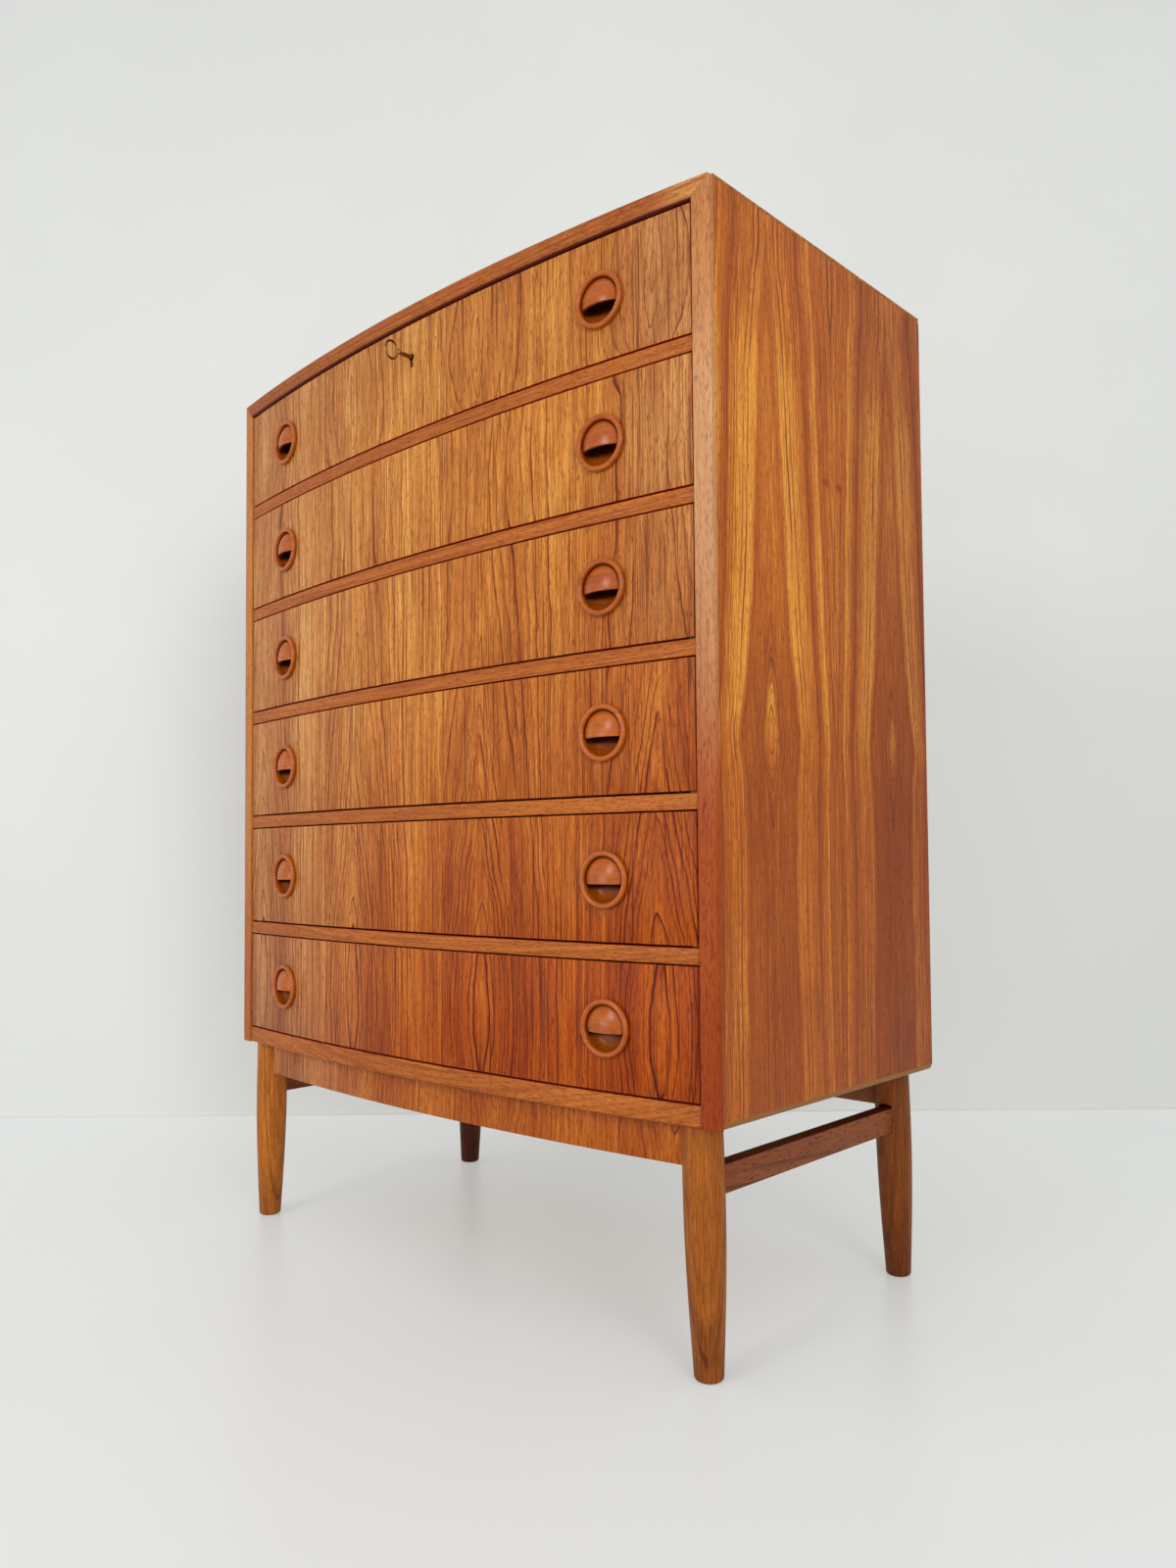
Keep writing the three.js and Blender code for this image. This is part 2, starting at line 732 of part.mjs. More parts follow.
makeSides();
makeTop();
makeBottom();
makeBack();
makeRailsAndRunners();
const pullGeometry = makePullGeometry();
for (let number = 1; number <= drawerCount; number += 1) {
  makeDrawer(number, pullGeometry);
}
makeLock();
makeKey();
makeBase();

export default chest;
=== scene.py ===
"""Bow front chest of drawers: its looks, laid out as an add-on and run as a script."""

import math
from functools import partialmethod

import bmesh
import bpy
import numpy as np
from bpy.props import FloatProperty, FloatVectorProperty, PointerProperty
from mathutils import Matrix, Vector


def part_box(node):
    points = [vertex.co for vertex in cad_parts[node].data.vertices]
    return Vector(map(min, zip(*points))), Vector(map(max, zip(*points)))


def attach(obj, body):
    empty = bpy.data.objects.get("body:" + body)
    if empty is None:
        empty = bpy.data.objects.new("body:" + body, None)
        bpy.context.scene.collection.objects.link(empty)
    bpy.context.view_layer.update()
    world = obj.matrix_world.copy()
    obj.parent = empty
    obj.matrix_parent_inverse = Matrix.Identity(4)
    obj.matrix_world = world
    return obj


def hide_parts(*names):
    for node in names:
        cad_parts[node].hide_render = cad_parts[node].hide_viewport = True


bl_info = {
    "name": "Bow Front Chest of Drawers",
    "version": (1, 0, 0),
    "blender": (4, 5, 0),
    "location": "View3D > Sidebar > Chest",
    "description": "Teak chest with six bowed drawers, eyelid pulls, a lock and oak legs",
    "category": "Object",
}

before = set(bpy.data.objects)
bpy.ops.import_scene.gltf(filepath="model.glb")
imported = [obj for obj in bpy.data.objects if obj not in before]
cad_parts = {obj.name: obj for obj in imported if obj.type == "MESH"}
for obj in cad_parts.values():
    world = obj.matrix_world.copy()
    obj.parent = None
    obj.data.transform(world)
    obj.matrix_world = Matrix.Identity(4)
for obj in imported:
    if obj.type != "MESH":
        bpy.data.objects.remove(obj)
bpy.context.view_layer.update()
MM = 0.001
FIT = 0.3 * MM  # clearance between joined pieces
SPARE = 0.2 * MM  # clearance round what sits in a bore or a recess
DRAWERS = range(1, 7)
SIDES = (("left", -1), ("right", 1))
WHITE = (1, 1, 1)


def box(node):
    """Lowest and highest corner of a CAD node, as arrays in metres."""
    low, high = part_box(node)
    return np.array(low), np.array(high)


TOP_LOW, TOP_HIGH = box("top_lipping")
SIDE_LOW, SIDE_HIGH = box("right_side_panel")
HALF_WIDTH = TOP_HIGH[0]
INSIDE_HALF = SIDE_LOW[0]
FRONT = TOP_LOW[1]


def setback_of(node):
    """How far a CAD node's face lies behind the face of the top lipping."""
    return box(node)[0][1] - FRONT


def key_height():
    """Height of the key's axis."""
    low, high = box("key")
    return (low[2] + high[2]) / 2


def length(name, millimetres, description):
    """A length that a user would change, given in millimetres."""
    return FloatProperty(
        name=name, description=description, default=millimetres * MM, min=0, subtype="DISTANCE",
        unit="LENGTH",
    )


def linear(red, green, blue):
    """Linear colour of a display colour in steps of 255: a straight line up to the toe, then a power."""
    display = np.array([red, green, blue]) / 255
    toe = display <= 0.04045
    return tuple(np.where(toe, display / 12.92, ((display + 0.055) / 1.055) ** 2.4))


def colour(name, display, description):
    """A colour that a user would change, given as a display colour."""
    return FloatVectorProperty(
        name=name, description=description, default=linear(*display), size=3, min=0, max=1, subtype="COLOR",
    )


class ChestSizes(bpy.types.PropertyGroup):
    """Sizes of the chest's finer pieces."""

    bow_rise: length("Bow rise", 29, "How far the middle of the front stands before its corners")
    lipping: length("Lipping", 6, "Thickness of the solid strips on the front edges")
    lipping_edge: length("Lipping edge", 2, "Radius of the lippings' front edges")
    top_lower_edge: length("Top lower edge", 5, "Radius of the top lipping's lower front edge")
    side_bevel: length("Side bevel", 6, "Height of the bevel along the lower edge of the sides")
    side_bevel_depth: length("Side bevel depth", 3, "Depth of that bevel")
    top_round: length("Top round", 4, "Radius of the upper outer edge of the chest")
    corner: length("Corner", 4, "Radius of the sides' rear top corner")
    arris: length("Arris", 0.8, "Radius that eases the drawer fronts and rails")
    front_thickness: length("Front thickness", 20, "Thickness of a drawer front")
    lap_cover: length("Lap cover", 6, "How much of the front covers the side boards' ends")
    board: length("Board", 12, "Thickness of the drawer boards")
    bottom_sheet: length("Bottom sheet", 5, "Thickness of a drawer bottom")
    bottom_lift: length("Bottom lift", 8, "Height of a drawer bottom over the boards' lower edges")
    pull_spacing: length("Pull spacing", 552.8, "Distance between the two pulls of a drawer")
    pull_radius: length("Pull radius", 28, "Radius of a pull's ring")
    ring_height: length("Ring height", 5.8, "How far the ring stands out of the face")
    ring_width: length("Ring width", 5.4, "Width of the ring")
    ring_edge: length("Ring edge", 2.4, "Radius of the ring's edges")
    groove: length("Groove", 1.5, "Width of the groove round the lid")
    groove_floor: length("Groove floor", 1.2, "Height of the groove's floor over the face")
    lid_crown: length("Lid crown", 8, "Height of the lid's middle over the face")
    lid_rim: length("Lid rim", 1.9, "Height of the lid's rim over the face")
    lid_thickness: length("Lid thickness", 3, "Thickness of the lid")
    lid_drop: length("Lid drop", 4.4, "How far the lid's straight edge lies below the middle")
    spigot_radius: length("Spigot radius", 24, "Radius of the spigot behind the ring")
    spigot_length: length("Spigot length", 12, "Length of the spigot")
    bowl_depth: length("Bowl depth", 9.8, "Depth of the bowl under the lid")
    keyhole_radius: length("Keyhole radius", 4, "Radius of the keyhole's round part")
    keyhole_slot: length("Keyhole slot", 3.2, "Width of the keyhole's slot")
    keyhole_drop: length("Keyhole drop", 11.8, "Depth of the slot below the key's axis")
    key_wire: length("Key wire", 1.3, "Radius of the wire of the key's ring")
    key_ring_depth: length("Key ring depth", 18.8, "Width of the key's ring, measured straight out")
    bit_length: length("Bit length", 5, "Length of the key's bit along the shank")
    bit_drop: length("Bit drop", 10.6, "How far the bit reaches below the key's axis")
    bit_thickness: length("Bit thickness", 2.2, "Thickness of the bit")
    lock_width: length("Lock width", 60, "Width of the lock case under its top plate")
    lock_plate: length("Lock plate", 2.2, "Thickness of the lock's top plate")
    leg_top: length("Leg top", 19.2, "Leg radius at the top")
    leg_belly: length("Leg belly", 19.6, "Leg radius at its widest")
    leg_knee: length("Leg knee", 18.1, "Leg radius above the taper")
    leg_ankle: length("Leg ankle", 14.9, "Leg radius near the foot")
    leg_foot: length("Leg foot", 13.9, "Leg radius at the foot")
    leg_edge: length("Leg edge", 4, "Radius of the foot's rounded edge")
    leg_splay: length("Leg splay", 4.8, "How far a leg leans out over its height")
    housing_spare: length("Housing spare", 4, "Height of the rounded gap over a stretcher's end")
    apron_thickness: length("Apron thickness", 18, "Thickness of the bowed apron")
    leaf: length("Veneer leaf", 226.7, "Width of one leaf of the fronts' veneer")


class ChestColours(bpy.types.PropertyGroup):
    """Colours of the woods and metals."""

    teak_light: colour("Teak light", (234, 168, 92), "Palest stripes of the fronts")
    teak_mid: colour("Teak middle", (199, 121, 57), "Most of the fronts")
    teak_dark: colour("Teak dark", (150, 70, 28), "Darker stripes of the fronts")
    teak_line: colour("Teak line", (98, 37, 14), "Growth lines of the teak")
    # Painted sheen: these two make the left part of the fronts paler and bluer, as a reflection of the room
    # would
    left_sheen: colour("Left tint", (234, 248, 255), "Tint of the fronts at the left")
    lower_left_sheen: colour("Lower left tint", (212, 220, 250), "Tint of the fronts at the lower left")
    right_tint: colour("Right tint", (243, 232, 210), "Further tint of the fronts towards the right")
    upper_tint: colour("Upper tint", (242, 250, 228), "Tint of the fronts at the upper right")
    lower_tint: colour("Lower tint", (208, 156, 60), "Tint of the fronts at the lower right")
    side_gold: colour("Side gold", (222, 150, 56), "Golden stripes of the side veneer")
    side_brown: colour("Side brown", (182, 97, 28), "Brown ground of the side veneer")
    side_dark: colour("Side dark", (147, 70, 20), "Dark stripes of the side veneer")
    edge_tint: colour("Edge tint", (168, 158, 168), "Tint of the sides' upper edge")
    bevel_wood: colour("Bevel wood", (138, 90, 40), "Solid wood in the bevel under the sides")
    # Painted shade: the sides darken towards the rear, where less light falls
    rear_shade: colour("Rear tint", (222, 208, 215), "Tint of the sides towards the rear")
    gap_shade: colour("Gap shade", (255, 90, 60), "Tint of the edges that face the gaps round the fronts")
    lip_light: colour("Lipping light", (190, 112, 46), "Pale fibres of the solid teak")
    lip_dark: colour("Lipping dark", (138, 66, 22), "Dark fibres of the solid teak")
    pull_light: colour("Pull light", (186, 94, 10), "Pale parts of the turned pulls")
    pull_dark: colour("Pull dark", (128, 50, 3), "Dark parts of the turned pulls")
    oak_light: colour("Oak light", (168, 96, 28), "Palest parts of the legs")
    oak_dark: colour("Oak dark", (110, 54, 14), "Darker parts of the legs")
    oak_pore: colour("Oak pore", (74, 36, 14), "Open pores of the oak")
    bar_wood: colour("Stretcher wood", (134, 78, 44), "Stretchers and rear rail")
    drawer_wood: colour("Drawer wood", (206, 168, 120), "Boards of the drawer boxes")
    plywood: colour("Plywood", (176, 128, 84), "Back panel and drawer bottoms")
    brass: colour("Brass", (150, 112, 58), "Worn brass of the key")
    steel: colour("Steel", (128, 124, 116), "Lock case")
    wall: colour("Wall", (219, 221, 219), "Wall of the studio")
    floor: colour("Floor", (178, 180, 179), "Floor of the studio")


def sizes():
    return bpy.context.scene.chest_sizes


def colours():
    return bpy.context.scene.chest_colours


# Shapes

BOW_STEPS = 96  # steps along the bow
ARC_STEPS = 5  # steps round an outline's corner
FINE_FROM = 0.987  # share of a bar's reach from which its steps are finer
SHARP = math.radians(50)  # edges that bend more than this are eased
MITRE_GAP = 0.05 * MM  # gap that keeps the two lippings at a mitre apart


def bow_radius():
    """Radius of the arc through the front corners."""
    rise = sizes().bow_rise
    return (HALF_WIDTH ** 2 + rise ** 2) / (2 * rise)


def bow(x, setback=0.0):
    """Depth of the bowed front at x: an arc through the front corners, of a radius less the setback."""
    radius = bow_radius()
    return FRONT + radius - np.sqrt((radius - setback) ** 2 - x ** 2)


def quads(rows, columns, wrap_rows, wrap_columns):
    """Quads between neighbours on a grid of points that is numbered row by row."""
    row = np.arange(rows if wrap_rows else rows - 1)[:, None]
    column = np.arange(columns if wrap_columns else columns - 1)[None, :]
    next_row, next_column = (row + 1) % rows, (column + 1) % columns
    corners = (
        row * columns + column, row * columns + next_column,
        next_row * columns + next_column, next_row * columns + column,
    )
    return np.stack(corners, -1).reshape(-1, 4)


class Shell:
    """Grids of points, each joined by quads, that make up one piece."""

    def __init__(self):
        self.points, self.faces, self.count = [], [], 0

    def add(self, grid, wrap_rows=False, wrap_columns=False):
        rows, columns = grid.shape[:2]
        self.faces.append(quads(rows, columns, wrap_rows, wrap_columns) + self.count)
        self.points.append(grid.reshape(-1, 3))
        self.count += rows * columns
        return self

    def moved(self, change):
        self.points = [change(points) for points in self.points]
        return self

    def sided(self, sign):
        """Mirrors a shell that is drawn for the right side, where the sign is -1."""
        return self.moved(lambda points: points * (sign, 1, 1))

    def join(self, other):
        self.faces += [faces + self.count for faces in other.faces]
        self.points += other.points
        self.count += other.count
        return self


def capped(rings):
    """Closes a run of rings at both ends: each end ring is drawn together on its own middle."""
    first = np.broadcast_to(rings[0].mean(0), rings[0].shape)
    last = np.broadcast_to(rings[-1].mean(0), rings[-1].shape)
    return np.concatenate([first[None], rings, last[None]])


def rounded_outline(corners):
    """Outline with corners [across, up, radius]: each corner becomes an arc that touches both sides."""
    corners = np.array(corners, float)
    points = []
    for here, before, after in zip(corners, np.roll(corners, 1, 0), np.roll(corners, -1, 0)):
        place, radius = here[:2], here[2]
        if radius == 0:
            points.append(place)
            continue
        into = (before[:2] - place) / np.linalg.norm(before[:2] - place)
        out = (after[:2] - place) / np.linalg.norm(after[:2] - place)
        half = math.acos(into @ out) / 2
        reach = radius / math.tan(half)
        bisector = (into + out) / np.linalg.norm(into + out)
        middle = place + bisector * radius / math.sin(half)
        start, end = place + into * reach - middle, place + out * reach - middle
        turn = math.pi - 2 * half
        share = np.linspace(0, 1, ARC_STEPS + 1)[:, None]
        arc = (start * np.sin((1 - share) * turn) + end * np.sin(share * turn)) / math.sin(turn)
        points.extend(middle + arc)
    return np.array(points)


def bowed_bar(outline, reach):
    """Bar that follows the bow: an outline [setback, height] carried along x.

    The reach may be one number or one for each point of the outline, which cuts a mitre.
    """
    ends = np.linspace(FINE_FROM, 1, 10)
    share = np.concatenate([-ends[::-1], np.linspace(-1, 1, BOW_STEPS + 1)[1:-1], ends])[:, None]
    x = share * np.broadcast_to(reach, len(outline))[None, :]
    rings = np.stack([x, bow(x, outline[None, :, 0]), np.broadcast_to(outline[:, 1], x.shape)], -1)
    return Shell().add(capped(rings), wrap_columns=True)


def upright_bar(outline, foot, top):
    """Bar that stands up: an outline [x, y] carried from the foot to a top that may differ for each point."""
    share = np.concatenate([np.linspace(0, 0.99, 24), np.linspace(0.994, 1, 9)])[:, None]
    z = foot + share * (np.broadcast_to(top, len(outline))[None, :] - foot)
    x, y = (np.broadcast_to(outline[:, axis], z.shape) for axis in (0, 1))
    return Shell().add(capped(np.stack([x, y, z], -1)), wrap_columns=True)


def bowed_plate(reach, setback, rear, low, high):
    """Plate with a bowed face: at each x four corners, two on the bow and two at the rear depth.

    The rear may be a number, for a flat back, or a function of x.
    """
    x = np.linspace(-reach, reach, BOW_STEPS + 1)
    face = bow(x, setback)
    back = rear(x) if callable(rear) else np.full_like(x, rear)
    low, high = np.full_like(x, low), np.full_like(x, high)
    ring = [(x, face, low), (x, face, high), (x, back, high), (x, back, low)]
    rings = np.stack([np.stack(corner, -1) for corner in ring], 1)
    return Shell().add(capped(rings), wrap_columns=True)


def board(low, high, parts=1):
    """Straight board between two corners, as four edges carried along its longest side."""
    low, high = np.array(low, float), np.array(high, float)
    along = int(np.argmax(high - low))
    across, up = (axis for axis in range(3) if axis != along)
    rings = np.empty((parts + 1, 4, 3))
    rings[..., along] = np.linspace(low[along], high[along], parts + 1)[:, None]
    rings[..., across] = np.array([low[across], high[across], high[across], low[across]])
    rings[..., up] = np.array([low[up], low[up], high[up], high[up]])
    return Shell().add(capped(rings), wrap_columns=True)


def prism(outline, near, far):
    """Prism: an outline [x, height] carried straight back from one depth to another."""
    rings = np.empty((2, len(outline), 3))
    rings[..., 0], rings[..., 2] = outline[:, 0], outline[:, 1]
    rings[..., 1] = np.array([near, far])[:, None]
    return Shell().add(capped(rings), wrap_columns=True)


def turned(profile, steps=72):
    """Turned body: a profile [radius, height] carried round the z axis."""
    profile = np.array(profile, float)
    angle = np.linspace(0, 2 * np.pi, steps, endpoint=False)[None, :]
    radius, height = profile[:, 0][:, None], profile[:, 1][:, None]
    rings = np.stack(
        [radius * np.cos(angle), radius * np.sin(angle), np.broadcast_to(height, (len(profile), steps))], -1,
    )
    return Shell().add(rings, wrap_columns=True)


def arc_profile(middle, radius, start, end, steps):
    """Points [radius, height] on a round between two angles in degrees."""
    angle = np.radians(np.linspace(start, end, steps))
    return [[middle[0] + radius * math.cos(a), middle[1] + radius * math.sin(a)] for a in angle]


def to_mesh(shell, name, ease=0.0):
    """Mesh of a shell: doubles are merged, faces point out, and sharp edges are eased by a small round."""
    points = np.concatenate(shell.points)
    faces = np.concatenate(shell.faces)
    mesh = bpy.data.meshes.new(name)
    mesh.from_pydata(points.tolist(), [], faces.tolist())
    bm = bmesh.new()
    bm.from_mesh(mesh)
    bmesh.ops.remove_doubles(bm, verts=bm.verts, dist=1e-6)
    bmesh.ops.dissolve_degenerate(bm, edges=bm.edges, dist=1e-7)
    bmesh.ops.recalc_face_normals(bm, faces=bm.faces)
    if ease:
        sharp = [e for e in bm.edges if len(e.link_faces) == 2 and e.calc_face_angle(0) > SHARP]
        bmesh.ops.bevel(
            bm, geom=sharp, offset=ease, offset_type="OFFSET", segments=2, profile=0.5, affect="EDGES",
            clamp_overlap=True,
        )
    bm.to_mesh(mesh)
    bm.free()
    return mesh


def linked(name, data):
    """New object in the scene."""
    made = bpy.data.objects.new(name, data)
    bpy.context.scene.collection.objects.link(made)
    return made


def piece(shell, name, body, slot, nodes=(), finish=None, ease=0.0, smooth=35, cuts=()):
    """One finished piece from a shell, less its cuts. Its finish is the slot's own unless one is named."""
    made = linked(name, to_mesh(shell, name, ease))
    for cut in cuts:
        carve(made, cut)
    finish_piece(made, body, nodes, finish or slot, smooth)


def finish_piece(made, body, nodes, finish, smooth):
    """Gives a piece its finish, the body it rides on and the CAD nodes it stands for."""
    mesh = made.data
    mesh.shade_smooth()
    mesh.set_sharp_from_angle(angle=math.radians(smooth))
    mesh.materials.clear()
    mesh.materials.append(materials[finish])
    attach(made, body)
    if nodes:
        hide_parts(*nodes)


def carve(made, cut):
    """Takes a closed shell away from a piece, with a Boolean that is applied at once."""
    cutter = linked("cutter", to_mesh(cut, "cutter"))
    modifier = made.modifiers.new("cut", "BOOLEAN")
    modifier.object = cutter
    modifier.operation = "DIFFERENCE"
    modifier.solver = "EXACT"
    graph = bpy.context.evaluated_depsgraph_get()
    mesh = bpy.data.meshes.new_from_object(made.evaluated_get(graph))
    made.modifiers.clear()
    made.data = mesh
    bpy.data.objects.remove(cutter)


# Node wiring

class Wiring:
    """Adds nodes to a tree. Each input is a value, which is set, or an output, which is joined."""

    def __init__(self, tree):
        self.tree = tree

    def add(self, kind, inputs=None, output=0, **settings):
        node = self.tree.nodes.new(kind)
        for name, value in settings.items():
            setattr(node, name, value)
        for key, value in (inputs or {}).items():
            self.feed(node.inputs[key], value)
        return node.outputs[output]

    def feed(self, socket, value):
        if isinstance(value, bpy.types.NodeSocket):
            self.tree.links.new(value, socket)
        elif hasattr(socket.default_value, "__len__") and len(value) == 3 and len(socket.default_value) == 4:
            socket.default_value = (*value, 1)
        else:
            socket.default_value = value

    def math(self, operation, *values, clamp=False):
        return self.add("ShaderNodeMath", dict(enumerate(values)), operation=operation, use_clamp=clamp)

    plus, minus = partialmethod(math, "ADD"), partialmethod(math, "SUBTRACT")
    times, over = partialmethod(math, "MULTIPLY"), partialmethod(math, "DIVIDE")

    def swing(self, noise, amount):
        """A noise about zero instead of about a half, times an amount."""
        return self.times(self.minus(noise, 0.5), amount)

    def split(self, vector):
        node = self.tree.nodes.new("ShaderNodeSeparateXYZ")
        self.feed(node.inputs[0], vector)
        return node.outputs

    def vector(self, x, y, z):
        return self.add("ShaderNodeCombineXYZ", {0: x, 1: y, 2: z})

    def stretch(self, vector, scale):
        return self.add("ShaderNodeVectorMath", {0: vector, 1: scale}, operation="MULTIPLY")

    def noise(self, place, scale=1.0, detail=2.0, rough=0.5, dimensions="3D"):
        key = "W" if dimensions == "1D" else "Vector"
        return self.add(
            "ShaderNodeTexNoise", {key: place, "Scale": scale, "Detail": detail, "Roughness": rough},
            noise_dimensions=dimensions,
        )

    def ranged(self, value, low, high, to_low=0.0, to_high=1.0, smooth=True):
        return self.add(
            "ShaderNodeMapRange", {0: value, 1: low, 2: high, 3: to_low, 4: to_high},
            interpolation_type="SMOOTHSTEP" if smooth else "LINEAR", clamp=True,
        )

    def mix(self, share, a, b, blend="MIX"):
        return self.add("ShaderNodeMix", {0: share, 6: a, 7: b}, output=2, data_type="RGBA", blend_type=blend)

    def multiplied(self, a, b):
        return self.mix(1.0, a, b, blend="MULTIPLY")

    def curve(self, value, points):
        node = self.tree.nodes.new("ShaderNodeFloatCurve")
        self.feed(node.inputs["Value"], value)
        line = node.mapping.curves[0]
        line.points[0].location, line.points[1].location = points[0], points[-1]
        for place in points[1:-1]:
            line.points.new(*place)
        node.mapping.update()
        return node.outputs[0]

    def ramp(self, value, stops):
        node = self.tree.nodes.new("ShaderNodeValToRGB")
        self.feed(node.inputs[0], value)
        elements = node.color_ramp.elements
        elements[0].position, elements[1].position = stops[0][0], stops[-1][0]
        for place, _ in stops[1:-1]:
            elements.new(place)
        for element, (_, level) in zip(elements, stops):
            element.color = (level, level, level, 1)
        return node.outputs[0]

    def add_group(self, tree, inputs):
        node = self.tree.nodes.new("ShaderNodeGroup")
        node.node_tree = tree
        for key, value in inputs.items():
            self.feed(node.inputs[key], value)
        return node.outputs


SOCKETS = {1: "NodeSocketFloat", 3: "NodeSocketVector", 4: "NodeSocketColor"}


def new_group(name, inputs, outputs):
    """Empty shader node group with named sockets.

    It comes with its wiring, its inputs, and a function that joins its outputs.
    """
    tree = bpy.data.node_groups.new(name, "ShaderNodeTree")
    for key, default in inputs.items():
        count = len(default) if hasattr(default, "__len__") else 1
        socket = tree.interface.new_socket(key, in_out="INPUT", socket_type=SOCKETS[count])
        socket.default_value = default
    for key, count in outputs.items():
        tree.interface.new_socket(key, in_out="OUTPUT", socket_type=SOCKETS[count])
    wiring = Wiring(tree)
    entry = tree.nodes.new("NodeGroupInput").outputs
    exit_node = tree.nodes.new("NodeGroupOutput")

    def put(**values):
        for key, value in values.items():
            wiring.feed(exit_node.inputs[key], value)
        return tree

    return wiring, entry, put


def leaf_field():
    """Growth distance in the leaves of the fronts' veneer, which repeat side by side with the grain upright.

    In a leaf it is the distance from the figure's middle plus a level that follows a curve over the height
    and fades away from the middle. Where the level rises the lines are tall pointed arches, and where it has
    a low they are long closed rings. Far from the middle they are upright stripes.
    """
    w, entry, put = new_group(
        "Leaf Field",
        {"Vector": (0, 0, 0), "Start": -0.4, "Leaf": 0.2267, "Middle": 0.057, "Level": 0.06, "Reach": 0.07,
         "Point": 0.005},
        {"Growth": 1, "Across": 1, "Off": 1, "Slope": 1},
    )
    x, _, z = w.split(entry["Vector"])
    run = w.minus(x, entry["Start"])
    across = w.math("FLOORED_MODULO", run, entry["Leaf"])
    number = w.math("FLOOR", w.over(run, entry["Leaf"]))
    bend = w.noise(w.plus(w.times(z, 7.0), w.times(number, 0.3)), detail=2, dimensions="1D")
    off = w.plus(w.minus(across, entry["Middle"]), w.swing(bend, 0.014))
    level = w.curve(w.ranged(z, 0.19, 1.1, smooth=False), [
        (0.0, 0.32), (0.044, 0.20), (0.088, 0.07), (0.131, 0.0), (0.176, 0.05), (0.22, 0.14), (0.286, 0.33),
        (0.363, 0.53), (0.423, 0.66), (0.516, 0.82), (0.582, 0.89), (0.67, 0.96), (0.747, 1.0), (0.813, 0.98),
        (0.868, 0.84), (0.918, 0.77), (0.956, 0.81), (1.0, 0.92),
    ])
    near = w.over(off, entry["Reach"])
    near = w.math("EXPONENT", w.times(w.times(near, near), -1.0))
    level = w.times(w.times(level, entry["Level"]), near)
    away = w.math("SQRT", w.plus(w.times(off, off), w.times(entry["Point"], entry["Point"])))
    slope = w.over(w.math("ABSOLUTE", off), away)
    ripple = w.swing(w.noise(w.stretch(entry["Vector"], (45, 45, 12)), detail=3), 0.005)
    growth = w.plus(w.plus(away, level), w.plus(ripple, w.times(number, 0.0007)))
    return put(Growth=growth, Across=across, Off=off, Slope=slope)


def pith_field():
    """Growth distance in solid wood with the grain along z: the distance from a pith line, with ripples."""
    w, entry, put = new_group(
        "Pith Field", {"Vector": (0, 0, 0), "Pith": (0.09, 0.06, 0), "Ripple": 0.004, "Lean": (0, 0, 0)},
        {"Growth": 1},
    )
    along = w.split(entry["Vector"])[2]
    lean = w.add("ShaderNodeVectorMath", {0: entry["Lean"], "Scale": along}, operation="SCALE")
    flat = w.add("ShaderNodeVectorMath", {0: w.stretch(entry["Vector"], (1, 1, 0)), 1: lean}, operation="ADD")
    reach = w.add("ShaderNodeVectorMath", {0: flat, 1: entry["Pith"]}, output="Value", operation="DISTANCE")
    ripple = w.swing(w.noise(w.stretch(entry["Vector"], (14, 14, 4)), detail=2), entry["Ripple"])
    bend = w.swing(w.noise(w.stretch(entry["Vector"], (3, 3, 2)), detail=0), 0.02)
    return put(Growth=w.plus(w.plus(reach, ripple), bend))


